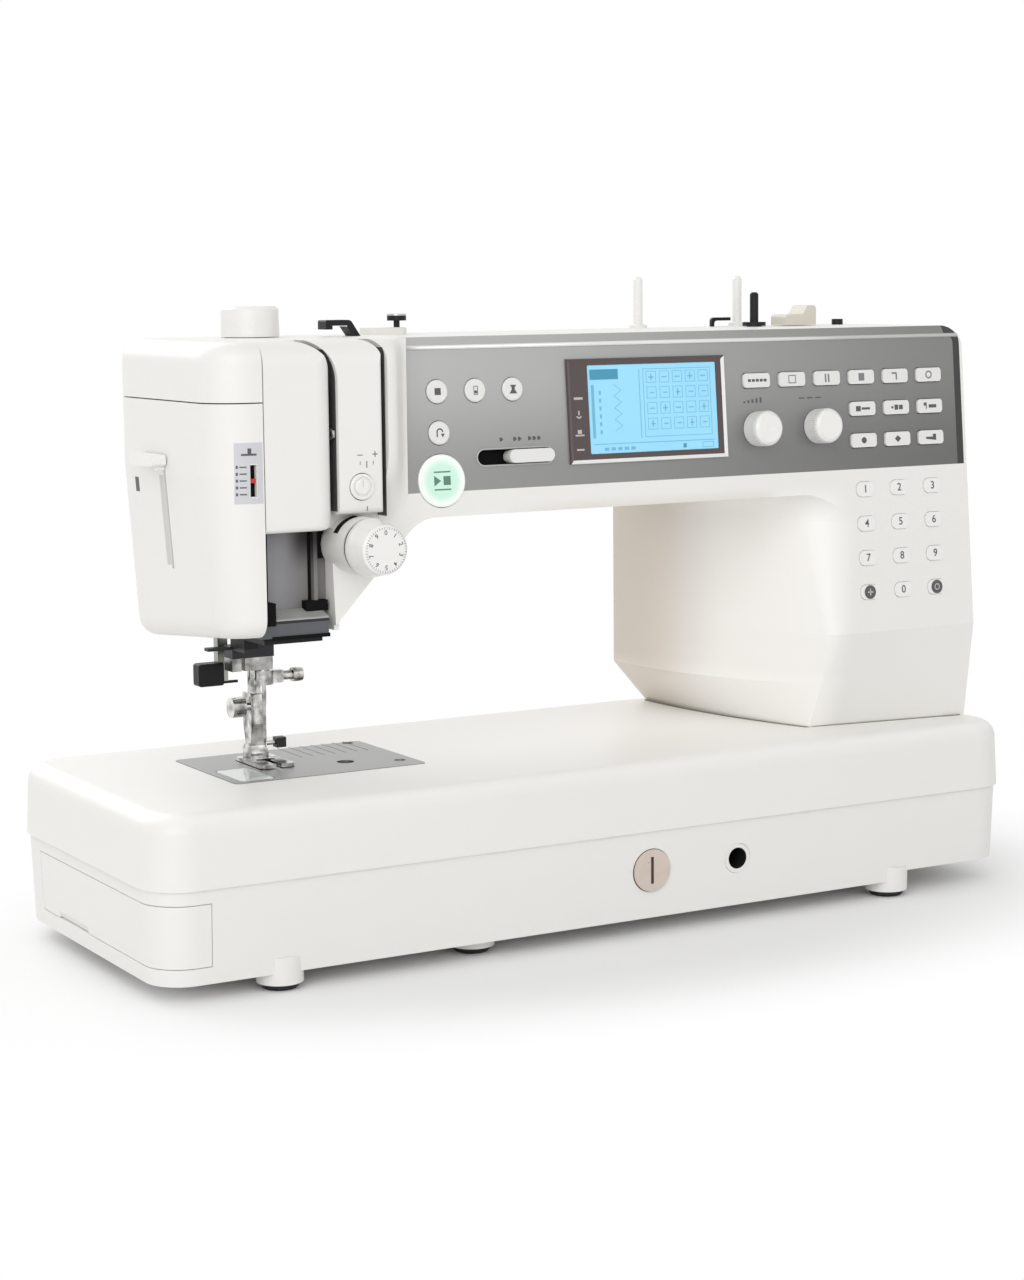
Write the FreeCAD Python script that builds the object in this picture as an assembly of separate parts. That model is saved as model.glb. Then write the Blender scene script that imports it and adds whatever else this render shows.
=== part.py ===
import FreeCAD, Part
import math
import os

V = FreeCAD.Vector

# Bed: long flat base with an upper cover and a lower tray
BED_DEPTH = 189.0
BED_TOP = 90.3
BED_PARTING = 54.8
BASE_BOTTOM = 9.0
BED_CORNER = 22.0
BED_EDGE = 9.0
BED_DRAFT = 1.8
COVER_OVERHANG = 1.5
WALL = 2.6
BASE_NOTCH_LENGTH = 71.0
BASE_NOTCH_HEIGHT = 5.0

# Rubber feet
FOOT_RADIUS = 9.5
FOOT_HEIGHT = 5.2
FOOT_BOSS = 2.0
FOOT_SIDE_INSET = 68.0
FOOT_EDGE_INSET = 12.5
FOOT_MIDDLE_X = -75.0

# Layout along the machine, measured from the needle
NEEDLE_FROM_END = 105.0
NEEDLE_Y = 10.0
THROAT = 254.0
HEAD_LEFT_OFFSET = 62.0
FACE_COVER_WIDTH = 24.5
COLUMN_INSET = 10.0
PANEL_START = 46.0

# Arm, column and head outlines
ARM_UNDERSIDE = 219.0
BODY_TOP = 307.0
HEAD_BOTTOM = 165.0
HEAD_FRONT = -78.0
HEAD_TAPER = 6.0
HEAD_SLOPE = 0.088
HEAD_SKIRT = 3.0
HEAD_TAPER_START = 245.0
HEAD_FRONT_CORNER = 20.0
HEAD_REAR_CORNER = 28.0
HEAD_EDGE = 10.0
BACK = 57.0
BACK_EDGE = 12.0
FRONT_LOW_Y = -71.0
FRONT_LOW_Z = 143.0
FRONT_TOP_Y = -57.3
FRONT_TOP_Z = 302.0
BAND_DEPTH = 3.3
COLUMN_FOOT_Y = -50.6
COLUMN_FOOT_SKEW = 12.9
COLUMN_BACK = 80.0
COLUMN_BACK_Z = 240.0
COLUMN_CORNER = 46.5
COLUMN_FOOT_NARROWING = 4.0
COLUMN_FOOT_UNDERCUT = 22.0
COLUMN_UNDERCUT_Z = 115.0
COLUMN_TURN_Y = 74.0
THROAT_COVE = 14.0
GUSSET_RUN = 54.0
GUSSET_START = 52.0
BODY_CORNER = 12.0
COLUMN_SOFT_EDGE = 38.0
COLUMN_LOW_EDGE = 12.0
COLUMN_FOOT_EDGE = 3.4
HOUSING_SPLIT = -20.0

# Head covers and thread path
CAP_SEAM = 279.0
SEAM_GAP = 0.6
GROOVE = 2.6
STRIP_WIDTH = 23.8
STRIP_CORNER = 9.0
PILLOW_CORNER = 20.0
PILLOW_LOW_CORNER = 9.0
STRIP_RECESS = 2.0
STRIP_BOTTOM = 224.0
SHOULDER_FLAT = 3.0
SHOULDER_RUN = 34.0
SHOULDER_OVERLAP = 2.0
COVER_ROUND = 12.0
RECESS_TOP = 217.0
RECESS_WIDTH = 40.5
GUARD_DEPTH = 3.0
GUARD_RECESS = 20.0
UNDER_PLATE = 2.4

# Control panel and its controls
PANEL_BOTTOM = 231.2
PANEL_THICKNESS = 1.6
PANEL_MARGIN = 2.0
PANEL_LEDGE = 4.0
BUTTON_RADIUS = 5.8
BUTTON_PITCH = 21.4
BUTTON_ROW = 280.3
BUTTON_ROW_PITCH = 20.2
BUTTON_FROM_EDGE = 18.8
START_RADIUS = 13.0
START_Z = 236.7
BUTTON_PROUD = 1.2
BUTTON_DEPTH = 4.5
SLOT_LENGTH = 43.4
SLOT_HEIGHT = 7.4
SLOT_Z = 247.0
SLOT_FROM_EDGE = 40.0
THUMB_LENGTH = 26.0
THUMB_PROUD = 2.6
DISPLAY_START = 93.3
DISPLAY_WIDTH = 95.7
DISPLAY_HEIGHT = 52.4
DISPLAY_BOTTOM = 241.6
DISPLAY_PROUD = 0.8
SCREEN_WIDTH = 78.5
SCREEN_HEIGHT = 45.0
SCREEN_LEFT_BORDER = 12.2
SCREEN_LOW_BORDER = 4.4
SCREEN_RECESS = 0.6
KEY_WIDTH = 17.0
KEY_HEIGHT = 7.5
KEY_PITCH = 22.9
KEY_ROW_PITCH = 17.0
KEY_TOP_ROW = 280.5
KEY_RIGHT_INSET = 23.0
KEYS_PER_ROW = 6
KEYS_GAP = 12.0
KNOB_RADIUS = 9.2
KNOB_HEIGHT = 12.0
KNOB_Z = 255.1
KNOB_PITCH = 39.1
KNOB_STEM = 3.0
PAD_PITCH = 22.9
PAD_ROW_PITCH = 18.5
PAD_TOP_ROW = 220.2
PAD_KEY_WIDTH = 12.0
PAD_KEY_HEIGHT = 8.0

# Fits
CLEAR = 0.35
FIT = 0.15
SHAFT_FIT = 0.05

# Thread tension, balance and presser controls
TENSION_RADIUS = 14.1
TENSION_Z = 208.5
TENSION_COLLAR = 17.0
TENSION_LENGTH = 18.0
TENSION_TAPER = 2.3
TENSION_STEM = 3.0
TENSION_GAP = 1.6
COLLAR_ROOT = 6.5
BALANCE_RADIUS = 6.3
BALANCE_Z = 237.0
PRESSURE_RADIUS = 14.8
PRESSURE_HEIGHT = 15.5
PRESSURE_STEM = 5.0
PRESSURE_SETBACK = 5.0
GAUGE_Z = 235.0
GAUGE_HEIGHT = 15.0
GAUGE_SLOT = 3.2

# Bed controls
FEED_DIAL_X = 18.3
FEED_DIAL_Z = 34.1
FEED_DIAL_RADIUS = 11.0
KNEE_X = 71.6
KNEE_RADIUS = 8.0
KNEE_BORE = 5.5
KNEE_LENGTH = 26.0
KNEE_END_WALL = 4.0

# Sockets and switch in the right end of the bed
SOCKET_Z = 34.0
SOCKET_WALL = 3.0
SOCKET_DEPTH = 9.7
SOCKET_BACK = 4.5
INLET_Y = 32.0
INLET_WIDTH = 28.0
INLET_HEIGHT = 20.0
JACK_Y = 60.0
JACK_RADIUS = 5.5
JACK_BORE = 3.2
SWITCH_Y = -3.0
SWITCH_WIDTH = 22.0
SWITCH_HEIGHT = 16.0
SWITCH_DEPTH = 8.0
SWITCH_DISH = 1.4
SWITCH_TILT = 5.0
SWITCH_PIN = 2.0

# Slots for air in the bed's floor and the column's back
VENT_PITCH = 14.0
VENT_WIDTH = 6.0
FLOOR_VENTS = 9
FLOOR_VENT_START = -60.0
FLOOR_VENT_FRONT = 20.0
FLOOR_VENT_BACK = 62.0
BACK_VENTS = 6
BACK_VENT_INSET = 34.0
BACK_VENT_BOTTOM = 130.0
BACK_VENT_TOP = 175.0

# Needle plate and hook
PLATE_LENGTH = 106.2
PLATE_DEPTH = 78.0
PLATE_LEFT = 35.6
PLATE_FRONT = 42.7
PLATE_THICKNESS = 2.2
PLATE_CORNER = 3.0
WINDOW_LEFT = 31.0
WINDOW_WIDTH = 19.0
WINDOW_FRONT = 39.0
WINDOW_DEPTH = 34.0
HOOK_RADIUS = 18.0
HOOK_HEIGHT = 17.5
HOOK_SPINDLE = 4.0
BOBBIN_RADIUS = 10.2
BOBBIN_HEIGHT = 11.5
HOOK_STEM = 15.0
WINDOW_LEDGE = 0.8
PLATE_HOLE = 4.5
FEED_BAR = 2.4
FEED_STROKE = 2.5

# Needle bar, presser bar and levers
NEEDLE_BAR_RADIUS = 3.0
NEEDLE_RADIUS = 0.8
NEEDLE_POINT = 98.0
CLAMP_RADIUS = 5.0
CLAMP_BOTTOM = 131.8
CLAMP_HEIGHT = 7.2
CLAMP_SCREW = 2.4
CLAMP_KNOB = 3.5
CLAMP_KNOB_LENGTH = 5.5
GATE_GAP = 0.8
GATE_LENGTH = 23.0
GATE_RIGHT = 4.2
GATE_BACK = 6.0
GATE_DEPTH = 10.0
GATE_FLANGE = 13.0
GATE_SHROUD = 6.5
GATE_HEIGHT = 13.0
BAR_TOP = 276.0
PRESSER_SETBACK = 12.0
PRESSER_RADIUS = 3.4
FOOT_LIFT_GAP = 0.4
FOOT_PLATE_WIDTH = 19.0
FOOT_PLATE_LENGTH = 32.0
ANKLE_TOP = 126.0
THUMB_SCREW_RADIUS = 5.2
THUMB_SCREW_LENGTH = 7.0
THUMB_SCREW_OFFSET = 6.5
RELEASE_OFFSET = 11.0
RELEASE_SIZE = 5.2
PRESSURE_BAR_TOP = 284.0
LIFTER_OFFSET = 15.5
LIFTER_WIDTH = 5.0
LIFTER_Z = 206.0
LIFTER_PIN = 3.0
LUG_Z = 194.0
BUTTONHOLE_OFFSET = 30.5
BUTTONHOLE_BOTTOM = 131.0
BUTTONHOLE_PADDLE = 14.0
BUTTONHOLE_HEIGHT = 11.6
BUTTONHOLE_STEM = 5.5
BUTTONHOLE_TOP = 225.0
BUTTONHOLE_FINGER = 10.0
TAKE_UP_PIN = 2.5
THREADER_Y = -16.0
THREADER_TOP = 246.0
THREADER_TRAVEL = 46.0
THREADER_SLOT = 2.6
THREADER_TAB = 28.0
THREADER_TAB_HEIGHT = 5.5
THREADER_REACH = 8.0
TAKE_UP_THICKNESS = 1.2
TAKE_UP_Y = -36.0
TAKE_UP_Z = 252.0

# Drive train
SHAFT_Y = 10.0
SHAFT_Z = 252.0
SHAFT_RADIUS = 5.0
CRANK_RADIUS = 12.5
WHEEL_RADIUS = 33.0
WHEEL_OVERHANG = 9.0
WHEEL_GAP = 0.8
MOTOR_RADIUS = 26.0
MOTOR_LENGTH = 58.0
MOTOR_Y = -12.0
MOTOR_Z = 140.0
FRAME_FRONT = 29.0
FRAME_DEPTH = 16.0
FRAME_RIGHT_INSET = 33.0
FRAME_POST_WIDTH = 44.0
FRAME_LUG_OFFSET = 23.0
PULLEY_RADIUS = 24.0

# Top of the arm
SPOOL_PIN_RADIUS = 2.6
SPOOL_PIN_TOP = 335.0
SPOOL_PIN_Y = 38.0
SPOOL_1_INSET = 150.5
SPOOL_2_INSET = 84.0
WINDER_INSET = 87.6
WINDER_Y = 16.0
WINDER_TOP = 326.0
WINDER_RADIUS = 2.4
WINDER_STEM = 4.0
STOPPER_GAP = 16.5
CUTTER_INSET = 27.0
CUTTER_RADIUS = 3.2
LOOP_BEFORE_SPOOL = 18.0
BENT_GUIDE_OFFSET = 32.0
DISC_GUIDE_OFFSET = 64.0

# Accessory drawer in the left end of the bed
DRAWER_WRAP = 29.0
DRAWER_BOTTOM = 17.5
DRAWER_TOP = 47.5
DRAWER_BACK = 62.0
DRAWER_DEPTH = 62.0

# Places worked out from the sizes above
KEYS_LENGTH = KEY_WIDTH / 2 + KEY_PITCH * (KEYS_PER_ROW - 1) + KEY_RIGHT_INSET
PANEL_LENGTH = DISPLAY_START + DISPLAY_WIDTH + KEYS_GAP + KEYS_LENGTH
BED_LENGTH = NEEDLE_FROM_END + PANEL_START + PANEL_LENGTH + PANEL_MARGIN + COLUMN_INSET
BED_END = BED_LENGTH / 2
BED_SIDE = BED_DEPTH / 2
NEEDLE_X = NEEDLE_FROM_END - BED_END
HEAD_LEFT = NEEDLE_X - HEAD_LEFT_OFFSET
FACE_SEAM = HEAD_LEFT + FACE_COVER_WIDTH
COLUMN_LEFT = NEEDLE_X + THROAT
COLUMN_RIGHT = BED_END - COLUMN_INSET
COLUMN_FACE_WIDTH = COLUMN_RIGHT - COLUMN_LEFT - COLUMN_CORNER
COLUMN_FACE = COLUMN_RIGHT - COLUMN_FACE_WIDTH
PANEL_LEFT = NEEDLE_X + PANEL_START
PANEL_RIGHT = COLUMN_RIGHT - PANEL_MARGIN
STRIP_LEFT = NEEDLE_X + GROOVE
STRIP_RIGHT = STRIP_LEFT + STRIP_WIDTH
STRIP_MIDDLE = (STRIP_LEFT + STRIP_RIGHT) / 2
STRIP_FRONT = HEAD_FRONT + STRIP_RECESS
SHOULDER_LEFT = STRIP_RIGHT + GROOVE
PRESSER_Y = NEEDLE_Y + PRESSER_SETBACK
PRESSURE_Y = PRESSER_Y - PRESSURE_SETBACK
PLATE_TOP = BED_TOP + 0.3
PLATE_UNDER = PLATE_TOP - PLATE_THICKNESS
HOOK_X = NEEDLE_X - WINDOW_LEFT + WINDOW_WIDTH / 2
HOOK_Y = NEEDLE_Y - WINDOW_FRONT + WINDOW_DEPTH / 2
HOOK_TOP = PLATE_UNDER - 4.3
FRAME_BACK = FRAME_FRONT + FRAME_DEPTH
FRAME_RIGHT = COLUMN_RIGHT - FRAME_RIGHT_INSET
FRAME_POST = FRAME_RIGHT - FRAME_POST_WIDTH
FRAME_LUG_X = NEEDLE_X + FRAME_LUG_OFFSET
GAUGE_X = FACE_SEAM - 7
RECESS_RIGHT = FACE_SEAM + RECESS_WIDTH
SPOOL_1_X = COLUMN_RIGHT - SPOOL_1_INSET
SPOOL_2_X = COLUMN_RIGHT - SPOOL_2_INSET
WINDER_X = COLUMN_RIGHT - WINDER_INSET
BED_END_FACE = BED_END - COVER_OVERHANG - BED_DRAFT
LIFTER_Y = FRAME_BACK - 6
TILT = math.atan2(FRONT_TOP_Y - FRONT_LOW_Y, FRONT_TOP_Z - FRONT_LOW_Z)
FACE_NORMAL = V(0, -math.cos(TILT), math.sin(TILT))
COLLAR_END = FRONT_LOW_Y + (TENSION_Z - FRONT_LOW_Z) * math.tan(TILT) - TENSION_COLLAR
FRAME_SHIFT = V(-WHEEL_OVERHANG / 2, (TENSION_LENGTH - COLLAR_END - BED_SIDE) / 2, 0)
ALONG_X = V(1, 0, 0)
ALONG_Y = V(0, 1, 0)
ALONG_Z = V(0, 0, 1)


def save(name, shape):
    placed = shape.copy()
    placed.translate(FRAME_SHIFT)
    placed.exportStep("parts/" + name + ".step")


def box(x0, x1, y0, y1, z0, z1):
    return Part.makeBox(x1 - x0, y1 - y0, z1 - z0, V(x0, y0, z0))


def rod(radius, start, axis, length):
    return Part.makeCylinder(radius, length, start, axis)


def in_plan(z):
    return lambda a, b: V(a, b, z)


def in_side(x):
    return lambda a, b: V(x, a, b)


def in_front(y):
    return lambda a, b: V(a, y, b)


def front_y(z):
    return FRONT_LOW_Y + (z - FRONT_LOW_Z) * math.tan(TILT)


def on_face(x, z, out=0.0):
    return V(x, front_y(z), z) + FACE_NORMAL * out


def in_face(out):
    return lambda a, b: on_face(a, b, out)


# Closed outline through the corners; a third value rounds that corner
def outline(corners, place):
    count = len(corners)
    spans = []
    for i in range(count):
        here = corners[i]
        before = V(corners[i - 1][0] - here[0], corners[i - 1][1] - here[1], 0)
        after_corner = corners[(i + 1) % count]
        after = V(after_corner[0] - here[0], after_corner[1] - here[1], 0)
        radius = here[2] if len(here) > 2 else 0.0
        point = V(here[0], here[1], 0)
        if radius <= 0:
            spans.append((point, None, point))
            continue
        before.normalize()
        after.normalize()
        half = before.getAngle(after) / 2
        reach = radius / math.tan(half)
        middle = before + after
        middle.normalize()
        bulge = point + middle * (radius / math.sin(half) - radius)
        spans.append((point + before * reach, bulge, point + after * reach))
    edges = []
    for i in range(count):
        start, bulge, end = [p and place(p.x, p.y) for p in spans[i]]
        if bulge:
            edges.append(Part.Arc(start, bulge, end).toShape())
        next_start = spans[(i + 1) % count][0]
        following = place(next_start.x, next_start.y)
        if (following - end).Length > 1e-6:
            edges.append(Part.makeLine(end, following))
    return Part.Wire(edges)


def slab(corners, place, along):
    return Part.Face(outline(corners, place)).extrude(along)


def plan_slab(corners, z0, z1):
    return slab(corners, in_plan(z0), V(0, 0, z1 - z0))


def face_slab(corners, inner, outer):
    return slab(corners, in_face(inner), FACE_NORMAL * (outer - inner))


def rectangle(x0, x1, y0, y1, radius=0.0):
    return [(x0, y0, radius), (x1, y0, radius), (x1, y1, radius), (x0, y1, radius)]


def turned(points, centre, axis):
    # Turned piece from (radius, distance along the axis) points
    profile = [V(r, 0, h) for r, h in points]
    face = Part.Face(Part.makePolygon(profile + [profile[0]]))
    solid = face.revolve(V(0, 0, 0), ALONG_Z, 360)
    solid.Placement = FreeCAD.Placement(centre, FreeCAD.Rotation(ALONG_Z, axis))
    return solid


def round_edges(shape, radius, wanted):
    edges = [e for e in shape.Edges if wanted(e)]
    return shape.makeFillet(radius, edges)


def at_height(z):
    return lambda e: all(abs(v.Z - z) < 1e-3 for v in e.Vertexes)


def joined(shapes):
    whole = shapes[0]
    if len(shapes) > 1:
        whole = whole.multiFuse(shapes[1:])
    return whole.removeSplitter()


def less(shape, tools):
    return shape.cut(tools)


# Bed cover and base
def bed_outline(inset, z):
    radius = BED_CORNER - inset
    corners = rectangle(inset - BED_END, BED_END - inset, inset - BED_SIDE, BED_SIDE - inset, radius)
    return outline(corners, in_plan(z))


def bed_form(inset, z0, z1, low_inset, high_inset):
    return Part.makeLoft([bed_outline(inset + low_inset, z0), bed_outline(inset + high_inset, z1)],
                         True, True)


def plate_corners(grow):
    left = NEEDLE_X - PLATE_LEFT - grow
    front = NEEDLE_Y - PLATE_FRONT - grow
    right = left + PLATE_LENGTH + 2 * grow
    return rectangle(left, right, front, front + PLATE_DEPTH + 2 * grow, PLATE_CORNER)


def make_bed_cover():
    outer = bed_form(0, BED_PARTING, BED_TOP, 0, BED_DRAFT)
    outer = round_edges(outer, BED_EDGE, at_height(BED_TOP))
    inner = bed_form(WALL, BED_PARTING, BED_TOP - WALL, 0, BED_DRAFT)
    inner = round_edges(inner, BED_EDGE - WALL, at_height(BED_TOP - WALL))
    shell = less(outer, [inner])
    ledge = plan_slab(plate_corners(4), PLATE_UNDER - 2, BED_TOP - WALL)
    window = plan_slab(plate_corners(FIT), PLATE_UNDER, BED_TOP + 1)
    passage = plan_slab(plate_corners(-3), PLATE_UNDER - 3, PLATE_UNDER + 1)
    cable_way = box(COLUMN_FACE + 8, COLUMN_RIGHT - 14, -34, FRAME_BACK + 12, BED_PARTING + 10,
                    BED_TOP + 1)
    return less(joined([shell, ledge]), [window, passage, cable_way])


def foot_places():
    side = BED_END - FOOT_SIDE_INSET
    edge = BED_SIDE - FOOT_EDGE_INSET
    corners = [(x, y) for x in (-side, side - COLUMN_INSET) for y in (-edge, edge)]
    return corners + [(FOOT_MIDDLE_X, FOOT_EDGE_INSET * 2 - BED_SIDE)]


def drawer_front(grow):
    left = -BED_END - 5
    return box(left, DRAWER_WRAP - BED_END + grow, -BED_SIDE - 5, DRAWER_BACK + grow,
               DRAWER_BOTTOM - grow, DRAWER_TOP + grow)


def make_bed_base():
    outer = bed_form(COVER_OVERHANG, BASE_BOTTOM, BED_PARTING, BED_DRAFT, 0)
    inner = bed_form(COVER_OVERHANG + WALL, BASE_BOTTOM + WALL, BED_PARTING, BED_DRAFT, 0)
    notch_x = BED_END - BASE_NOTCH_LENGTH
    notch_top = BASE_BOTTOM + BASE_NOTCH_HEIGHT
    notch = box(notch_x, BED_END + 1, -BED_DEPTH, BED_DEPTH, 0, notch_top)
    raised = box(notch_x - WALL, BED_END + 1, -BED_DEPTH, BED_DEPTH, 0, notch_top + WALL)
    shell = less(outer, [less(inner, [raised]), notch])
    bosses = [rod(FOOT_RADIUS + 2, V(x, y, FOOT_HEIGHT - FOOT_BOSS), ALONG_Z,
                  notch_top + WALL - FOOT_HEIGHT + FOOT_BOSS)
              for x, y in foot_places()]
    sockets = [rod(FOOT_RADIUS, V(x, y, 0), ALONG_Z, FOOT_HEIGHT) for x, y in foot_places()]
    rails = [box(WALL * 2 - BED_END + COVER_OVERHANG, DRAWER_DEPTH - BED_END, y, y + 8,
                 BASE_BOTTOM + WALL / 2,
                 DRAWER_BOTTOM - CLEAR) for y in (-50, 20)]
    stop = box(DRAWER_DEPTH - BED_END + CLEAR, DRAWER_DEPTH - BED_END + CLEAR + WALL, -60, 40,
               BASE_BOTTOM + WALL / 2, DRAWER_TOP - 8)
    dial_hole = rod(FEED_DIAL_RADIUS + CLEAR, V(FEED_DIAL_X, -BED_DEPTH, FEED_DIAL_Z), ALONG_Y,
                    BED_SIDE + 20)
    knee_hole = rod(KNEE_RADIUS, V(KNEE_X, -BED_DEPTH, FEED_DIAL_Z), ALONG_Y, BED_SIDE + 20)
    openings = [dial_hole, knee_hole, drawer_front(CLEAR)] + sockets + side_sockets(0)
    starts = [FLOOR_VENT_START + VENT_PITCH * i for i in range(FLOOR_VENTS)]
    vents = [box(x, x + VENT_WIDTH, FLOOR_VENT_FRONT, FLOOR_VENT_BACK, 0,
                 BASE_BOTTOM + WALL + 1) for x in starts]
    return less(joined([shell] + bosses + rails + [stop]), openings + vents)


def make_feet():
    solids = []
    for x, y in foot_places():
        profile = [(0, 0), (FOOT_RADIUS - 1.5, 0), (FOOT_RADIUS - FIT, 1.5),
                   (FOOT_RADIUS - FIT, FOOT_HEIGHT), (0, FOOT_HEIGHT)]
        solids.append(turned(profile, V(x, y, 0), ALONG_Z))
    return Part.makeCompound(solids)


def make_drawer():
    form = bed_form(COVER_OVERHANG, BASE_BOTTOM, BED_PARTING, BED_DRAFT, 0)
    front = form.common(drawer_front(0))
    tray_back = DRAWER_DEPTH - BED_END
    tray = box(DRAWER_WRAP - BED_END - 1, tray_back, WALL + CLEAR + 6 - BED_SIDE, DRAWER_BACK - 4,
               DRAWER_BOTTOM, DRAWER_TOP - 6)
    inside_form = bed_form(COVER_OVERHANG + WALL, BASE_BOTTOM, BED_PARTING, BED_DRAFT, 0)
    front_room = inside_form.common(box(-BED_END, DRAWER_WRAP - BED_END - WALL, -BED_SIDE,
                                        DRAWER_BACK - WALL,
                                        DRAWER_BOTTOM + WALL, DRAWER_TOP + 1))
    tray_room = box(-BED_END + BED_CORNER, tray_back - WALL, 2 * WALL + CLEAR + 6 - BED_SIDE,
                    DRAWER_BACK - 4 - WALL,
                    DRAWER_BOTTOM + WALL, DRAWER_TOP + 1)
    grip = rod(9, V(COVER_OVERHANG - BED_END - 6, 0, DRAWER_BOTTOM - 2), ALONG_Y, 40)
    return less(joined([front, tray]), [front_room, tray_room, grip])


# Arm, column and head housing
def arm_corners():
    band_y = FRONT_TOP_Y + BAND_DEPTH
    return [(front_y(HEAD_BOTTOM), HEAD_BOTTOM), (FRONT_TOP_Y, FRONT_TOP_Z), (band_y, BODY_TOP),
            (BACK, BODY_TOP, BACK_EDGE), (BACK, HEAD_BOTTOM)]


def column_corners(bottom, foot):
    slope = (FRONT_LOW_Y - foot) / (FRONT_LOW_Z - BED_TOP)
    band_y = FRONT_TOP_Y + BAND_DEPTH
    return [(foot + slope * (bottom - BED_TOP), bottom), (FRONT_LOW_Y, FRONT_LOW_Z),
            (FRONT_TOP_Y, FRONT_TOP_Z), (band_y, BODY_TOP),
            (BACK, BODY_TOP, BACK_EDGE), (BACK, BODY_TOP - 2 * BACK_EDGE), (COLUMN_BACK, COLUMN_BACK_Z),
            (COLUMN_BACK, bottom)]


def inset_face(corners, inset, x):
    face = Part.Face(outline(corners, in_side(x)))
    return face.makeOffset2D(-inset) if inset > 0 else face


def inset_prism(corners, inset, x0, x1):
    return inset_face(corners, inset, x0).extrude(V(x1 - x0, 0, 0))


# The foot of the column runs at a skew, further forward at the right
def column_form(inset, right):
    left = COLUMN_LEFT + inset
    skew = COLUMN_FOOT_SKEW / COLUMN_FACE_WIDTH
    wires = []
    for x in (left, right):
        foot = COLUMN_FOOT_Y - skew * (x - COLUMN_FACE)
        wires.append(inset_face(column_corners(BED_TOP - 2 * inset, foot), inset, x).OuterWire)
    return Part.makeLoft(wires, True, True)


def column_side(z, left, face_x, face_y, soft, grow):
    far = BED_DEPTH * 2
    rise = COLUMN_TURN_Y - face_y
    run = face_x - left
    radius = (rise * rise + run * run) / (2 * run)
    middle = V(left + radius, COLUMN_TURN_Y, z)
    height = face_y + soft - COLUMN_TURN_Y
    corner = V(middle.x - math.sqrt((radius - soft) ** 2 - height ** 2), face_y + soft, z)
    meet = corner - middle
    meet.normalize()
    ahead = meet - ALONG_Y
    ahead.normalize()
    behind = meet - ALONG_X
    behind.normalize()
    rear = V(left + grow, COLUMN_TURN_Y, z)
    side = middle + meet * (radius - grow)
    front = corner - ALONG_Y * (soft - grow)
    away = front + V(far / 8, -far / 8, 0)
    points = [front, away, V(away.x, -far, z), V(0, -far, z), V(0, far, z), V(rear.x, far, z), rear]
    edges = [Part.makeLine(points[i], points[i + 1]) for i in range(6)]
    edges.append(Part.Arc(rear, middle + behind * (radius - grow), side).toShape())
    edges.append(Part.Arc(side, corner + ahead * (soft - grow), front).toShape())
    return Part.Wire(edges)


# The space under the arm, between head and column
def throat_space(grow):
    slope = (FRONT_LOW_Y - COLUMN_FOOT_Y) / (FRONT_LOW_Z - BED_TOP)
    low_z = BED_TOP - 3 * WALL
    low_y = COLUMN_FOOT_Y + slope * (low_z - BED_TOP)
    under_y = COLUMN_FOOT_Y + slope * (COLUMN_UNDERCUT_Z - BED_TOP)
    step = (COLUMN_UNDERCUT_Z - BED_TOP) / (FRONT_LOW_Z - BED_TOP)
    foot_left = COLUMN_LEFT + COLUMN_FOOT_UNDERCUT * (1 + (BED_TOP - low_z) / (COLUMN_UNDERCUT_Z - BED_TOP))
    foot_face = COLUMN_FACE - COLUMN_FOOT_NARROWING
    under_face = foot_face + COLUMN_FOOT_NARROWING * step
    top = ARM_UNDERSIDE + grow
    levels = [(low_z, foot_left, foot_face, low_y, COLUMN_FOOT_EDGE),
              (COLUMN_UNDERCUT_Z, COLUMN_LEFT, under_face, under_y, COLUMN_FOOT_EDGE),
              (FRONT_LOW_Z, COLUMN_LEFT, COLUMN_FACE, FRONT_LOW_Y, COLUMN_LOW_EDGE),
              (top, COLUMN_LEFT, COLUMN_FACE, front_y(top), COLUMN_SOFT_EDGE)]
    side = Part.makeLoft([column_side(*level, grow) for level in levels], True, True)
    side = round_edges(side, THROAT_COVE,
                       lambda e: at_height(top)(e) and e.BoundBox.XMin > 1 and e.BoundBox.YMin > -100)
    gusset = [(1, low_z), (1, ARM_UNDERSIDE), (NEEDLE_X + GUSSET_START, ARM_UNDERSIDE, 22),
              (NEEDLE_X + GUSSET_START - GUSSET_RUN, HEAD_BOTTOM, 6), (-BED_LENGTH, HEAD_BOTTOM),
              (-BED_LENGTH, low_z)]
    face = Part.Face(outline(gusset, in_front(-BED_DEPTH * 2)))
    if grow > 0:
        face = face.makeOffset2D(grow)
    return [side, face.extrude(V(0, BED_DEPTH * 4, 0))]


def body_form(inset, left, right):
    corner = BODY_CORNER - inset
    arm = inset_prism(arm_corners(), inset, left, right)
    column = column_form(inset, right)
    elevation = slab([(left, 0), (right, 0), (right, BODY_TOP - inset, corner),
                      (left, BODY_TOP - inset)],
                     in_front(-BED_DEPTH), V(0, BED_DEPTH * 2, 0))
    return less(arm.fuse(column).common(elevation), throat_space(inset))


def panel_corners(thick):
    band = V(0, BAND_DEPTH, BODY_TOP - FRONT_TOP_Z)
    band.normalize()
    band_normal = V(0, -band.z, band.y)
    top_y = FRONT_TOP_Y + BAND_DEPTH
    low = on_face(0, PANEL_BOTTOM, -thick)
    bisector = (FACE_NORMAL + band_normal) * (thick / (1 + FACE_NORMAL.dot(band_normal)))
    bend = V(0, FRONT_TOP_Y, FRONT_TOP_Z) - bisector
    high = V(0, top_y, BODY_TOP) - band_normal * thick
    return [(front_y(PANEL_BOTTOM), PANEL_BOTTOM), (FRONT_TOP_Y, FRONT_TOP_Z), (top_y, BODY_TOP),
            (high.y, high.z), (bend.y, bend.z), (low.y, low.z)]


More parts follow.
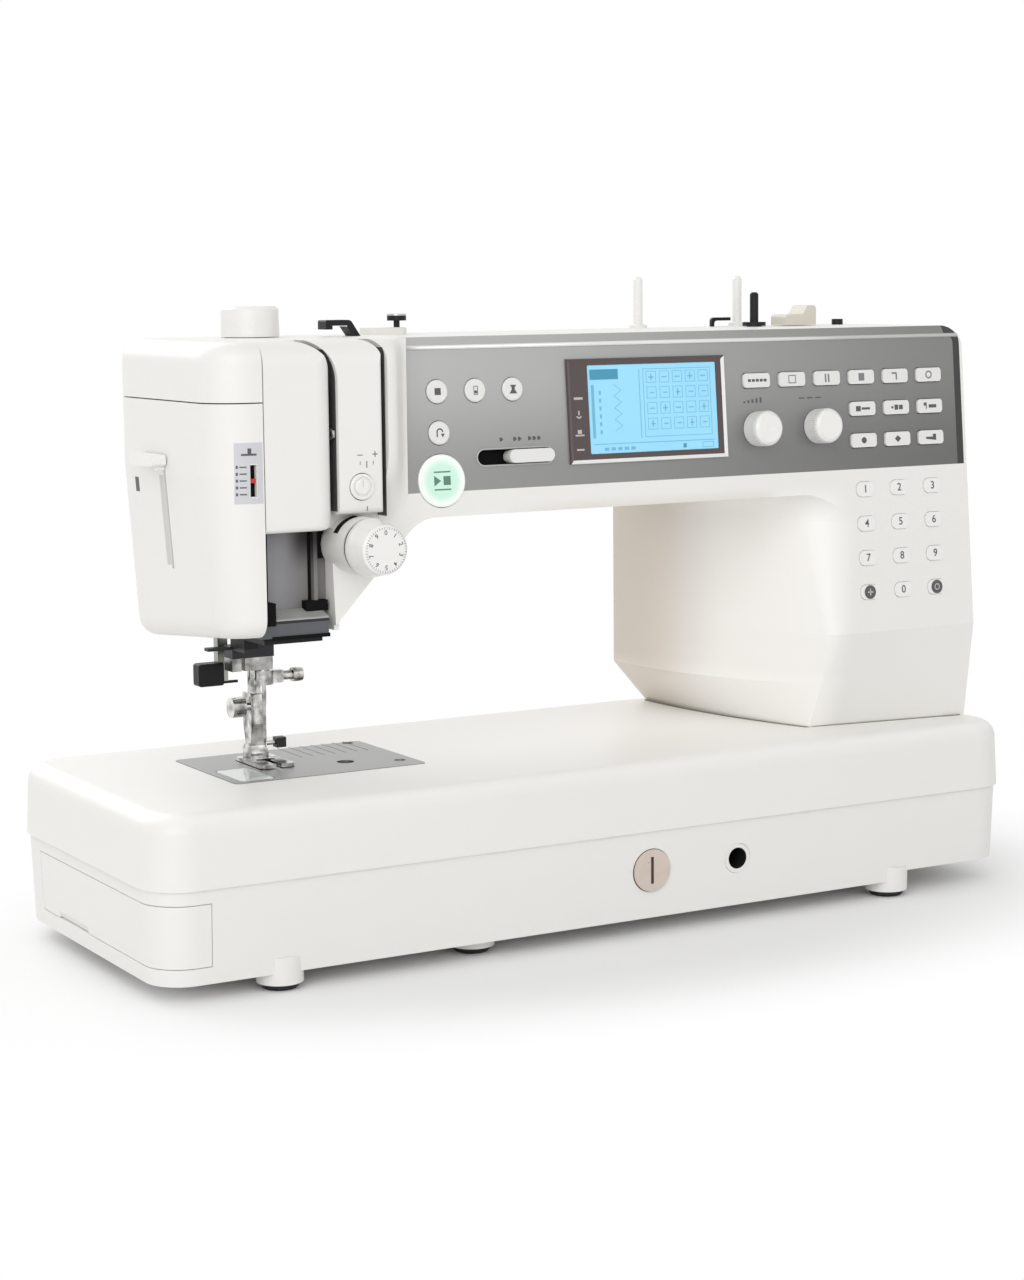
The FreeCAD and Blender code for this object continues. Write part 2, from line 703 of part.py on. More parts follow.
def panel_form(grow):
    left = PANEL_LEFT - grow
    right = PANEL_RIGHT + grow
    form = slab(panel_corners(PANEL_THICKNESS), in_side(left), V(right - left, 0, 0))
    corner = BODY_CORNER - PANEL_MARGIN + grow
    trim = slab([(left, PANEL_BOTTOM - grow), (right, PANEL_BOTTOM - grow),
                 (right, BODY_TOP + grow, corner),
                 (left, BODY_TOP + grow)], in_front(-BED_DEPTH), V(0, BED_DEPTH * 2, 0))
    return form.common(trim)


# Places of the panel controls, as (x, z)
def button_places():
    first = PANEL_LEFT + BUTTON_FROM_EDGE
    row = [(first + BUTTON_PITCH * i, BUTTON_ROW) for i in range(3)]
    return row + [(first, BUTTON_ROW - BUTTON_ROW_PITCH)]


def start_place():
    return (PANEL_LEFT + BUTTON_FROM_EDGE, START_Z)


def key_places():
    last = PANEL_RIGHT - KEY_RIGHT_INSET
    top = [(last - KEY_PITCH * (KEYS_PER_ROW - 1 - i), KEY_TOP_ROW) for i in range(KEYS_PER_ROW)]
    rows = [KEY_TOP_ROW - KEY_ROW_PITCH * (j + 1) for j in range(2)]
    low = [(last - KEY_PITCH * (2 - i), z) for z in rows for i in range(3)]
    return top + low


def knob_places():
    first = key_places()[0][0]
    return [(first, KNOB_Z), (first + KNOB_PITCH, KNOB_Z)]


def pad_places():
    last = PANEL_RIGHT - KEY_RIGHT_INSET
    rows = [PAD_TOP_ROW - PAD_ROW_PITCH * j for j in range(4)]
    return [(last - PAD_PITCH * (2 - i), z) for z in rows for i in range(3)]


def key_corners(place, width, height, grow, radius):
    x, z = place
    return rectangle(x - width / 2 - grow, x + width / 2 + grow, z - height / 2 - grow,
                     z + height / 2 + grow, radius)


def slot_corners(grow):
    left = PANEL_LEFT + SLOT_FROM_EDGE - grow
    right = left + SLOT_LENGTH + 2 * grow
    return rectangle(left, right, SLOT_Z - SLOT_HEIGHT / 2 - grow, SLOT_Z + SLOT_HEIGHT / 2 + grow,
                     SLOT_HEIGHT / 2)


def display_corners(grow):
    left = PANEL_LEFT + DISPLAY_START - grow
    right = left + DISPLAY_WIDTH + 2 * grow
    low = DISPLAY_BOTTOM - grow
    return rectangle(left, right, low, low + DISPLAY_HEIGHT + 2 * grow, 3)


def make_control_panel():
    panel = panel_form(0)
    holes = [rod(BUTTON_RADIUS + CLEAR, on_face(x, z, -5), FACE_NORMAL, 10) for x, z in button_places()]
    x, z = start_place()
    holes.append(rod(START_RADIUS + CLEAR, on_face(x, z, -5), FACE_NORMAL, 10))
    holes += [face_slab(key_corners(p, KEY_WIDTH, KEY_HEIGHT, CLEAR, 2), -5, 5) for p in key_places()]
    holes += [rod(KNOB_STEM + SHAFT_FIT, on_face(x, z, -5), FACE_NORMAL, 10) for x, z in knob_places()]
    holes.append(face_slab(slot_corners(0), -5, 5))
    holes.append(face_slab(display_corners(FIT), -5, 5))
    return less(panel, holes)


# Rounded covers standing forward of the arm face
def forward_cover(left, right, front, bottom, radius, low_round, inset):
    plan = [(left + inset, 0), (left + inset, front + inset),
            (right - inset, front + inset, max(radius - inset, 0.4)),
            (right - inset, 0)]
    top = BODY_TOP - inset
    column = plan_slab(plan, bottom + inset, top)
    side = [(0, bottom + inset), (front + inset, bottom + inset, max(low_round - inset, 0.4)),
            (front + inset, top, COVER_ROUND - inset), (0, top)]
    return column.common(slab(side, in_side(left - 5), V(right - left + 10, 0, 0)))


def arm_block():
    return inset_prism(arm_corners(), 0, HEAD_LEFT - 20, PANEL_RIGHT)


# Outlines of the head's front covers, seen from the front
def pillow_outline(grow):
    low = RECESS_TOP - grow
    high = BODY_TOP + grow
    right = NEEDLE_X + grow
    corners = [(-BED_END, low), (right, low, PILLOW_LOW_CORNER + grow),
               (right, high, PILLOW_CORNER + grow), (-BED_END, high)]
    return slab(corners, in_front(-BED_DEPTH), V(0, BED_DEPTH * 2, 0))


def strip_outline(grow):
    high = BODY_TOP + grow
    right = STRIP_RIGHT + grow
    corners = [(-BED_END, 0), (right, 0), (right, high, STRIP_CORNER + grow), (-BED_END, high)]
    return slab(corners, in_front(-BED_DEPTH), V(0, BED_DEPTH * 2, 0))


def head_front_form(inset):
    form = forward_cover(FACE_SEAM + SEAM_GAP, NEEDLE_X, HEAD_FRONT, RECESS_TOP, 9, 3, inset)
    return form.common(pillow_outline(-inset))


def thread_strip_form(inset):
    form = forward_cover(NEEDLE_X - PILLOW_CORNER, STRIP_RIGHT, STRIP_FRONT, STRIP_BOTTOM, 2, 3, inset)
    return less(form.common(strip_outline(-inset)), [pillow_outline(GROOVE + inset)])


def make_head_front():
    return less(head_front_form(0), [head_front_form(WALL), arm_block()])


def make_thread_strip():
    hole = rod(BALANCE_RADIUS + CLEAR, V(STRIP_MIDDLE, STRIP_FRONT - 5, BALANCE_Z), ALONG_Y, 12)
    return less(thread_strip_form(0), [thread_strip_form(WALL), arm_block(), hole])


# Shoulder between the strip and the panel, running out smoothly into the arm
def eased(part):
    part = min(max(part, 0.0), 1.0)
    return part * part * (3 - 2 * part)


def shoulder_front(z):
    low = ARM_UNDERSIDE - SHOULDER_OVERLAP
    reach = front_y(z) + (STRIP_FRONT - front_y(z)) * eased((z - low) / SHOULDER_RUN)
    above = max(z - BODY_TOP + COVER_ROUND, 0)
    return reach + COVER_ROUND - math.sqrt(COVER_ROUND ** 2 - above ** 2)


def shoulder_section(z):
    left = STRIP_RIGHT - STRIP_CORNER
    flat = SHOULDER_LEFT + SHOULDER_FLAT
    front = shoulder_front(z)
    run_out = front_y(PANEL_BOTTOM) if z > PANEL_BOTTOM else front_y(z)
    points = [V(left, front, z), V((left + flat) / 2, front, z)]
    for i in range(7):
        x = flat + (PANEL_LEFT - flat) * i / 6
        points.append(V(x, front + (max(run_out, front) - front) * eased(i / 6), z))
    curve = Part.BSplineCurve()
    curve.interpolate(points)
    end = points[-1]
    corners = [end, V(end.x, 0, z), V(left, 0, z), points[0]]
    return Part.Wire([curve.toShape()] + [Part.makeLine(corners[i], corners[i + 1]) for i in range(3)])


def make_shoulder():
    low = ARM_UNDERSIDE - SHOULDER_OVERLAP
    heights = [low + SHOULDER_RUN * i / 5 for i in range(6)]
    heights.append((heights[-1] + BODY_TOP - COVER_ROUND) / 2)
    heights += [BODY_TOP - COVER_ROUND * (1 - math.sin(math.radians(15 * i))) for i in range(7)]
    form = Part.makeLoft([shoulder_section(z) for z in heights], True, False)
    return less(form, [strip_outline(GROOVE), arm_block()])


def housing_shell():
    outer = body_form(0, FACE_SEAM + SEAM_GAP, COLUMN_RIGHT)
    inner = body_form(WALL, FACE_SEAM - 5, COLUMN_RIGHT - WALL)
    return less(outer, [inner])


def panel_window():
    left = PANEL_LEFT + PANEL_LEDGE
    right = PANEL_RIGHT - PANEL_LEDGE
    low = PANEL_BOTTOM + PANEL_LEDGE
    return face_slab(rectangle(left, right, low, FRONT_TOP_Z - PANEL_LEDGE), -12, 2)


def make_front_housing(shell):
    half = shell.common(box(-BED_LENGTH, BED_LENGTH, -BED_DEPTH, HOUSING_SPLIT, 0, BODY_TOP + 10))
    collar = rod(TENSION_RADIUS, V(STRIP_MIDDLE, COLLAR_END, TENSION_Z), ALONG_Y,
                 TENSION_COLLAR + COLLAR_ROOT)
    recess_wall = box(RECESS_RIGHT, RECESS_RIGHT + WALL, front_y(HEAD_BOTTOM) + WALL, HEAD_FRONT + 38,
                      HEAD_BOTTOM + WALL, RECESS_TOP)
    x, z = start_place()
    cuts = [panel_form(FIT), panel_window(),
            rod(START_RADIUS + CLEAR, on_face(x, z, -12), FACE_NORMAL, 20)]
    for place in pad_places():
        cuts.append(face_slab(key_corners(place, PAD_KEY_WIDTH, PAD_KEY_HEIGHT, FIT, 3.5), -12, 5))
    cuts.append(box(HEAD_LEFT, RECESS_RIGHT, HEAD_FRONT, HOUSING_SPLIT - 20, HEAD_BOTTOM - 5,
                    RECESS_TOP))
    cuts.append(box(HEAD_LEFT, STRIP_LEFT, HOUSING_SPLIT - 21, HOUSING_SPLIT + 1, HEAD_BOTTOM - 5,
                    HEAD_BOTTOM + WALL + 4))
    cuts.append(box(NEEDLE_X, STRIP_LEFT, HEAD_FRONT, HOUSING_SPLIT - 25, RECESS_TOP + 6,
                    BODY_TOP - 12))
    body = less(joined([half, make_shoulder(), recess_wall]), cuts)
    stem_hole = rod(TENSION_STEM + SHAFT_FIT, V(STRIP_MIDDLE, HEAD_FRONT - 40, TENSION_Z), ALONG_Y, 80)
    return less(joined([body, collar]), [stem_hole])


def make_rear_housing(shell):
    half = shell.common(box(-BED_LENGTH, BED_LENGTH, HOUSING_SPLIT, BED_DEPTH, 0, BODY_TOP + 10))
    cuts = [rod(PRESSURE_STEM + CLEAR, V(NEEDLE_X, PRESSURE_Y, BODY_TOP - 20), ALONG_Z, 40)]
    cuts.append(rod(SHAFT_RADIUS + CLEAR, V(COLUMN_RIGHT - 20, SHAFT_Y, SHAFT_Z), ALONG_X, 40))
    cuts.append(rod(WINDER_STEM + CLEAR, V(WINDER_X, WINDER_Y, BODY_TOP - 20), ALONG_Z, 40))
    for i in range(BACK_VENTS):
        x = COLUMN_LEFT + BACK_VENT_INSET + VENT_PITCH * i
        cuts.append(box(x, x + VENT_WIDTH, BACK, COLUMN_BACK + 5, BACK_VENT_BOTTOM, BACK_VENT_TOP))
    cuts.append(box(NEEDLE_X - 30, NEEDLE_X + 6, HOUSING_SPLIT - 1, PRESSER_Y + 12, HEAD_BOTTOM - 5,
                    HEAD_BOTTOM + 16))
    cuts.append(box(NEEDLE_X + 14, NEEDLE_X + 22, BACK - 10, BACK + 5, LIFTER_Z - 22, LIFTER_Z + 24))
    return less(half, cuts)


# Left end of the head: face cover below, cap above
def head_section(left, inset, place):
    right = FACE_SEAM + HEAD_REAR_CORNER
    corners = [(right, HEAD_FRONT + inset),
               (left + inset, HEAD_FRONT + inset, HEAD_FRONT_CORNER - inset),
               (left + inset, BACK - inset, HEAD_REAR_CORNER - inset), (right, BACK - inset)]
    return outline(corners, place)


def head_form(inset):
    high = BODY_TOP - inset
    right = FACE_SEAM + HEAD_REAR_CORNER

    def under(a, b):
        return V(a, b, HEAD_BOTTOM + HEAD_SKIRT + inset - HEAD_SLOPE * (b - HEAD_FRONT))

    def rounded(e, level):
        return e.BoundBox.XMin < right - 1 and all(abs(v.Z - level(v.Y)) < 1e-3 for v in e.Vertexes)
    waist = head_section(HEAD_LEFT, inset, in_plan(HEAD_TAPER_START))
    lower = Part.makeLoft([head_section(HEAD_LEFT + HEAD_TAPER, inset, under), waist], True, True)
    upper = Part.Face(waist).extrude(V(0, 0, high - HEAD_TAPER_START))
    lower = round_edges(lower, HEAD_EDGE - inset, lambda e: rounded(e, lambda y: under(0, y).z))
    upper = round_edges(upper, HEAD_EDGE - inset, lambda e: rounded(e, lambda y: high))
    return joined([lower, upper])


def make_face_covers():
    shell = less(head_form(0), [head_form(WALL)])
    far = BED_LENGTH
    cap = shell.common(box(-far, FACE_SEAM, -far, far, CAP_SEAM, BODY_TOP + 1))
    cover = shell.common(box(-far, FACE_SEAM, -far, far, 0, CAP_SEAM - SEAM_GAP))
    slot = box(HEAD_LEFT - 5, HEAD_LEFT + 15, THREADER_Y - THREADER_SLOT / 2,
               THREADER_Y + THREADER_SLOT / 2,
               THREADER_TOP - THREADER_TRAVEL - 3, THREADER_TOP + 3)
    gauge = box(GAUGE_X, GAUGE_X + GAUGE_SLOT, HEAD_FRONT - 2, HEAD_FRONT + 10, GAUGE_Z,
                GAUGE_Z + GAUGE_HEIGHT)
    return less(cover, [slot, gauge]), cap


# Small sockets in the right end of the bed
def side_sockets(shrink):
    x0 = BED_END_FACE - SOCKET_DEPTH - SOCKET_BACK
    x1 = BED_END + 2
    half_inlet = INLET_WIDTH / 2 - shrink
    half_switch = SWITCH_WIDTH / 2 - shrink
    inlet = box(x0, x1, INLET_Y - half_inlet, INLET_Y + half_inlet,
                SOCKET_Z - INLET_HEIGHT / 2 + shrink, SOCKET_Z + INLET_HEIGHT / 2 - shrink)
    switch = box(x0, x1, SWITCH_Y - half_switch, SWITCH_Y + half_switch,
                 SOCKET_Z - SWITCH_HEIGHT / 2 + shrink, SOCKET_Z + SWITCH_HEIGHT / 2 - shrink)
    jack = rod(JACK_RADIUS - shrink, V(x0, JACK_Y, SOCKET_Z), ALONG_X, x1 - x0)
    return [inlet, switch, jack]


# Dark inner guard behind the thread recess, with the plate under the head
def make_head_guard():
    left = FACE_SEAM + SEAM_GAP
    right = RECESS_RIGHT - FIT
    back = HEAD_FRONT + GUARD_RECESS
    plate = box(left, right, back, back + GUARD_DEPTH, HEAD_BOTTOM + 1, RECESS_TOP + 4)
    rail = box(right - 8, right - 6, back - 4, back + 1, HEAD_BOTTOM + 16, RECESS_TOP)
    ledge_side = [(back + 1, HEAD_BOTTOM + 1), (HEAD_FRONT + 9, HEAD_BOTTOM + 1),
                  (HEAD_FRONT + 8, HEAD_BOTTOM + 10, 1.5),
                  (back + 1, HEAD_BOTTOM + 14)]
    ledge = slab(ledge_side, in_side(left), V(right - left - 4, 0, 0))
    under = HEAD_BOTTOM - UNDER_PLATE
    floor = plan_slab([(left + 4, back - 6), (right - 5, back - 6), (right - 9, back + 30),
                       (right - 9, NEEDLE_Y - 12),
                       (NEEDLE_X - 24, NEEDLE_Y - 12), (NEEDLE_X - 24, PRESSER_Y + 14),
                       (left + 4, PRESSER_Y + 14)],
                      under, HEAD_BOTTOM)
    web = box(left + 4, right - 6, back - 4, back + GUARD_DEPTH, under, HEAD_BOTTOM + 2)
    return joined([plate, rail, ledge, floor, web, make_gate()])


# Guide around the needle bar, hanging from the plate under the head
def make_gate():
    low = CLAMP_BOTTOM + CLAMP_HEIGHT + GATE_GAP
    high = low + GATE_HEIGHT
    right = NEEDLE_X + GATE_RIGHT
    left = right - GATE_LENGTH
    back = NEEDLE_Y + GATE_BACK
    front = back - GATE_DEPTH
    middle = low + GATE_SHROUD
    shroud = box(left, right - 0.6, front + 0.3, back, low, middle)
    block = box(left, right, front, back, middle, high)
    flange = box(left - GATE_FLANGE, left + 1, front, front + GATE_DEPTH / 2, high - 1.6, high)
    hanger = box(left, left + GATE_LENGTH / 3, front - GATE_DEPTH * 1.5, front + 2, high - 1.6,
                 HEAD_BOTTOM - 1)
    slit = box(left + 5, left + 7, front - 1, front + 3, low - 1, middle)
    bore = rod(NEEDLE_BAR_RADIUS + CLEAR, V(NEEDLE_X, NEEDLE_Y, low - 1), ALONG_Z, GATE_HEIGHT + 2)
    return less(joined([shroud, block, flange, hanger]), [slit, bore])


# Display, keys and knobs of the panel
def make_display():
    body = face_slab(display_corners(0), -PANEL_THICKNESS - 3, DISPLAY_PROUD)
    left = PANEL_LEFT + DISPLAY_START + SCREEN_LEFT_BORDER
    low = DISPLAY_BOTTOM + SCREEN_LOW_BORDER
    screen = rectangle(left, left + SCREEN_WIDTH, low, low + SCREEN_HEIGHT, 1)
    return less(body, [face_slab(screen, DISPLAY_PROUD - SCREEN_RECESS, DISPLAY_PROUD + 1)])


def make_button(place, radius):
    x, z = place
    profile = [(0, -BUTTON_DEPTH), (radius, -BUTTON_DEPTH), (radius, BUTTON_PROUD - 0.5),
               (radius - 0.6, BUTTON_PROUD),
               (0, BUTTON_PROUD)]
    return turned(profile, on_face(x, z), FACE_NORMAL)


def make_key(place):
    return face_slab(key_corners(place, KEY_WIDTH, KEY_HEIGHT, 0, 2), -BUTTON_DEPTH, BUTTON_PROUD)


def make_slider():
    right = PANEL_LEFT + SLOT_FROM_EDGE + SLOT_LENGTH - CLEAR
    low = SLOT_Z - SLOT_HEIGHT / 2 + CLEAR
    high = SLOT_Z + SLOT_HEIGHT / 2 - CLEAR
    return face_slab(rectangle(right - THUMB_LENGTH, right, low, high, SLOT_HEIGHT / 2 - CLEAR - 0.1),
                     -BUTTON_DEPTH, THUMB_PROUD)


def make_knob(place):
    x, z = place
    foot = CLEAR + 0.1
    profile = [(0, -BUTTON_DEPTH * 2), (KNOB_STEM, -BUTTON_DEPTH * 2), (KNOB_STEM, foot),
               (KNOB_RADIUS, foot),
               (KNOB_RADIUS - 0.6, KNOB_HEIGHT - 1.5), (KNOB_RADIUS - 2.1, KNOB_HEIGHT),
               (0, KNOB_HEIGHT)]
    return turned(profile, on_face(x, z), FACE_NORMAL)


def make_number_pad():
    places = pad_places()
    back = -WALL - 2.0
    margin = 9
    sheet = face_slab(rectangle(places[0][0] - margin, places[-1][0] + margin, places[-1][1] - margin,
                                places[0][1] + margin), back, back + 1.2)
    keys = []
    for place in places:
        keys.append(face_slab(key_corners(place, PAD_KEY_WIDTH, PAD_KEY_HEIGHT, 0, 3.5), back + 0.6,
                              0.5))
    return joined([sheet] + keys)


# Needle plate, cover of the bobbin and the parts below
def window_corners(grow):
    left = NEEDLE_X - WINDOW_LEFT - grow
    front = NEEDLE_Y - WINDOW_FRONT - grow
    return rectangle(left, left + WINDOW_WIDTH + 2 * grow, front, front + WINDOW_DEPTH + 2 * grow, 3)


def feed_bars():
    long_bar = (-12, 14)
    short_bar = (6, 16)
    return [(-8, long_bar), (8, long_bar), (-2.8, short_bar), (2.8, short_bar)]


def make_needle_plate():
    plate = plan_slab(plate_corners(0), PLATE_UNDER, PLATE_TOP)
    low = PLATE_UNDER - 1
    cuts = [plan_slab(window_corners(-2), low, PLATE_TOP + 1)]
    cuts.append(plan_slab(window_corners(0), PLATE_UNDER + WINDOW_LEDGE, PLATE_TOP + 1))
    cuts.append(plan_slab(rectangle(NEEDLE_X - 5, NEEDLE_X + 5, NEEDLE_Y - 1.2, NEEDLE_Y + 1.2, 1.1),
                          low, PLATE_TOP + 1))
    for dx, (y0, y1) in feed_bars():
        x = NEEDLE_X + dx
        half = FEED_BAR / 2 + CLEAR + 0.2
        cuts.append(box(x - half, x + half, NEEDLE_Y + y0 - FEED_STROKE - CLEAR,
                        NEEDLE_Y + y1 + FEED_STROKE + CLEAR,
                        low, PLATE_TOP + 1))
    right = NEEDLE_X - PLATE_LEFT + PLATE_LENGTH
    cuts.append(rod(PLATE_HOLE, V(NEEDLE_X + 37, NEEDLE_Y - 17, low), ALONG_Z, 8))
    for y in (NEEDLE_Y - 28, NEEDLE_Y + 32):
        cuts.append(rod(3, V(right - 8, y, PLATE_TOP - 0.8), ALONG_Z, 2))
    return less(plate, cuts)


def make_bobbin_cover():
    return plan_slab(window_corners(-CLEAR), PLATE_UNDER + WINDOW_LEDGE + CLEAR, PLATE_TOP)


def make_feed_dog():
    low = HOOK_TOP + 0.5
    top = low + 1.8
    carrier = plan_slab(rectangle(NEEDLE_X - 10.5, NEEDLE_X + 10.5, NEEDLE_Y - 14, NEEDLE_Y + 20, 2),
                        low, top)
    carrier = less(carrier, [rod(5, V(NEEDLE_X, NEEDLE_Y, low - 1), ALONG_Z, 5)])
    bars = []
    for dx, (y0, y1) in feed_bars():
        x = NEEDLE_X + dx
        count = int((y1 - y0) / 2)
        teeth = [(NEEDLE_Y + y0, low + 0.5), (NEEDLE_Y + y1, low + 0.5)]
        for i in range(count):
            y = NEEDLE_Y + y1 - 2 * i
            teeth += [(y, PLATE_TOP - 0.5), (y - 1.9, PLATE_TOP - 1.3)]
        bars.append(slab(teeth, in_side(x - FEED_BAR / 2), V(FEED_BAR, 0, 0)))
    return joined([carrier] + bars)


def make_hook():
    low = HOOK_TOP - HOOK_HEIGHT
    foot = low - HOOK_STEM
    room = BOBBIN_RADIUS + 1
    profile = [(0, foot), (HOOK_SPINDLE, foot), (HOOK_SPINDLE, low), (HOOK_RADIUS - 4, low),
               (HOOK_RADIUS, low + 4),
               (HOOK_RADIUS, HOOK_TOP), (room, HOOK_TOP), (room, low + 3), (0, low + 3)]
    return turned(profile, V(HOOK_X, HOOK_Y, 0), ALONG_Z)


def make_bobbin():
    low = HOOK_TOP - HOOK_HEIGHT + 3 + CLEAR
    high = low + BOBBIN_HEIGHT
    profile = [(3, low), (BOBBIN_RADIUS, low), (BOBBIN_RADIUS, low + 1), (5, low + 1), (5, high - 1),
               (BOBBIN_RADIUS, high - 1), (BOBBIN_RADIUS, high), (3, high)]
    return turned(profile, V(HOOK_X, HOOK_Y, 0), ALONG_Z)


# Needle bar with clamp, screw and needle
def make_needle_bar():
    foot = V(NEEDLE_X, NEEDLE_Y, CLAMP_BOTTOM)
    bar = rod(NEEDLE_BAR_RADIUS, foot, ALONG_Z, BAR_TOP - CLAMP_BOTTOM)
    clamp = rod(CLAMP_RADIUS, foot, ALONG_Z, CLAMP_HEIGHT)
    middle = V(NEEDLE_X, NEEDLE_Y, CLAMP_BOTTOM + CLAMP_HEIGHT / 2)
    cheek = CLAMP_RADIUS * 2
    jaw = box(NEEDLE_X, NEEDLE_X + cheek, NEEDLE_Y - CLAMP_SCREW, NEEDLE_Y + CLAMP_SCREW,
              CLAMP_BOTTOM + 0.4, CLAMP_BOTTOM + CLAMP_HEIGHT - 0.4)
    screw = rod(CLAMP_SCREW, middle, ALONG_X, cheek + CLAMP_KNOB_LENGTH)
    knob = rod(CLAMP_KNOB, middle + ALONG_X * (cheek + CLAMP_KNOB_LENGTH), ALONG_X, CLAMP_KNOB_LENGTH)
    needle = turned([(0, NEEDLE_POINT), (NEEDLE_RADIUS, NEEDLE_POINT + 6),
                     (NEEDLE_RADIUS, CLAMP_BOTTOM - 12),
                     (1.1, CLAMP_BOTTOM - 10), (1.1, CLAMP_BOTTOM + 1), (0, CLAMP_BOTTOM + 1)],
                    V(NEEDLE_X, NEEDLE_Y, 0), ALONG_Z)
    return joined([bar, clamp, jaw, screw, knob, needle])


# Presser bar with foot holder, thumb screw and foot
def make_presser_bar():
    sole = PLATE_TOP + FOOT_LIFT_GAP
    bar = rod(PRESSER_RADIUS, V(NEEDLE_X, PRESSER_Y, ANKLE_TOP - 12), ALONG_Z,
              PRESSURE_BAR_TOP - ANKLE_TOP + 12)
    ankle_side = [(PRESSER_Y - 3, sole + 8), (PRESSER_Y + 3, sole + 8), (PRESSER_Y + 6, ANKLE_TOP - 16),
                  (PRESSER_Y + 6, ANKLE_TOP, 1), (PRESSER_Y - 4.5, ANKLE_TOP, 1),
                  (PRESSER_Y - 4.5, ANKLE_TOP - 16)]
    ankle = slab(ankle_side, in_side(NEEDLE_X - 4), V(8, 0, 0))
    screw_z = ANKLE_TOP - 7
    thumb_x = NEEDLE_X - THUMB_SCREW_OFFSET
    neck = rod(2.2, V(thumb_x - 1, PRESSER_Y, screw_z), ALONG_X, 5)
    thumb = rod(THUMB_SCREW_RADIUS, V(thumb_x - THUMB_SCREW_LENGTH, PRESSER_Y, screw_z), ALONG_X,
                THUMB_SCREW_LENGTH)
    bridge_front = NEEDLE_Y + CLAMP_RADIUS + 2
    bridge_side = [(bridge_front, sole + 1), (NEEDLE_Y + 17, sole + 1), (NEEDLE_Y + 17, sole + 6),
                   (PRESSER_Y + 2, sole + 9),
                   (PRESSER_Y - 2, sole + 9), (bridge_front, sole + 4)]
    half_release = RELEASE_SIZE / 2
    release_x = NEEDLE_X + RELEASE_OFFSET
    release_pin = rod(1.2, V(NEEDLE_X + 3, PRESSER_Y, sole + 8), ALONG_X, RELEASE_OFFSET - 2)
    release = box(release_x, release_x + RELEASE_SIZE, PRESSER_Y - half_release,
                  PRESSER_Y + half_release,
                  sole + 8 - half_release, sole + 8 + half_release)
    bridge = slab(bridge_side, in_side(NEEDLE_X - 5), V(10, 0, 0))
    half = FOOT_PLATE_WIDTH / 2
    front = NEEDLE_Y - FOOT_PLATE_LENGTH / 2
    plate = plan_slab([(NEEDLE_X - half, front, 3), (NEEDLE_X + half, front, 3),
                       (NEEDLE_X + half, front + FOOT_PLATE_LENGTH, 2),
                       (NEEDLE_X - half, front + FOOT_PLATE_LENGTH, 2)], sole, sole + 1.8)
    slit = box(NEEDLE_X - 1.5, NEEDLE_X + 1.5, front - 1, NEEDLE_Y, sole - 1, sole + 3)
    eye = plan_slab(rectangle(NEEDLE_X - 5, NEEDLE_X + 5, NEEDLE_Y - 2.2, NEEDLE_Y + 2.2, 2), sole - 1,
                    sole + 3)
    return joined([bar, ankle, neck, thumb, release_pin, release, bridge, less(plate, [slit, eye])])


def make_lifter():
    x0 = NEEDLE_X + LIFTER_OFFSET
    arm = [(LIFTER_Y - 6, LIFTER_Z - 6, 5), (LIFTER_Y + 6, LIFTER_Z - 6), (BACK + 12, LIFTER_Z - 18),
           (BACK + 24, LIFTER_Z - 22, 3),
           (BACK + 26, LIFTER_Z - 14, 3), (BACK + 10, LIFTER_Z - 8), (LIFTER_Y + 4, LIFTER_Z + 6),
           (LIFTER_Y - 6, LIFTER_Z + 6, 5)]
    lever = slab(arm, in_side(x0), V(LIFTER_WIDTH, 0, 0))
    return less(lever,
                [rod(LIFTER_PIN + SHAFT_FIT, V(x0 - 1, LIFTER_Y, LIFTER_Z), ALONG_X, LIFTER_WIDTH + 2)])


def make_buttonhole_lever():
    left = NEEDLE_X - BUTTONHOLE_OFFSET
    right = left + BUTTONHOLE_PADDLE
    low = BUTTONHOLE_BOTTOM
    stem_x = NEEDLE_X - THUMB_SCREW_OFFSET - THUMB_SCREW_LENGTH - CLEAR - BUTTONHOLE_STEM
    paddle = slab(rectangle(left, right, low, low + BUTTONHOLE_HEIGHT, 1.5), in_front(PRESSER_Y),
                  V(0, 7, 0))
    stem = box(stem_x, stem_x + BUTTONHOLE_STEM, PRESSER_Y + 1, PRESSER_Y + 6, low + 1, BUTTONHOLE_TOP)
    finger_front = PRESSER_Y + THUMB_SCREW_RADIUS + CLEAR
    finger = box(right - 2, right + BUTTONHOLE_FINGER, finger_front, PRESSER_Y + 7, low, low + 1.3)
    return joined([paddle, stem, finger])


# Thread take-up lever, swinging in the slot beside the strip
def make_take_up():
    x0 = NEEDLE_X + (GROOVE - TAKE_UP_THICKNESS) / 2
    tip = [(TAKE_UP_Y + 4, TAKE_UP_Z - 4, 3), (TAKE_UP_Y + 4, TAKE_UP_Z + 4, 3),
           (TAKE_UP_Y - 37, TAKE_UP_Z + 13.5, 2),
           (TAKE_UP_Y - 38, TAKE_UP_Z + 8.5, 2)]
    lever = slab(tip, in_side(x0), V(TAKE_UP_THICKNESS, 0, 0))
    eye = rod(1.3, V(x0 - 1, TAKE_UP_Y - 34.5, TAKE_UP_Z + 10.6), ALONG_X, 4)
    pivot = rod(TAKE_UP_PIN, V(x0 + TAKE_UP_THICKNESS / 2, TAKE_UP_Y, TAKE_UP_Z), ALONG_X,
                FRAME_LUG_X - NEEDLE_X + 12)
    return joined([less(lever, [eye]), pivot])


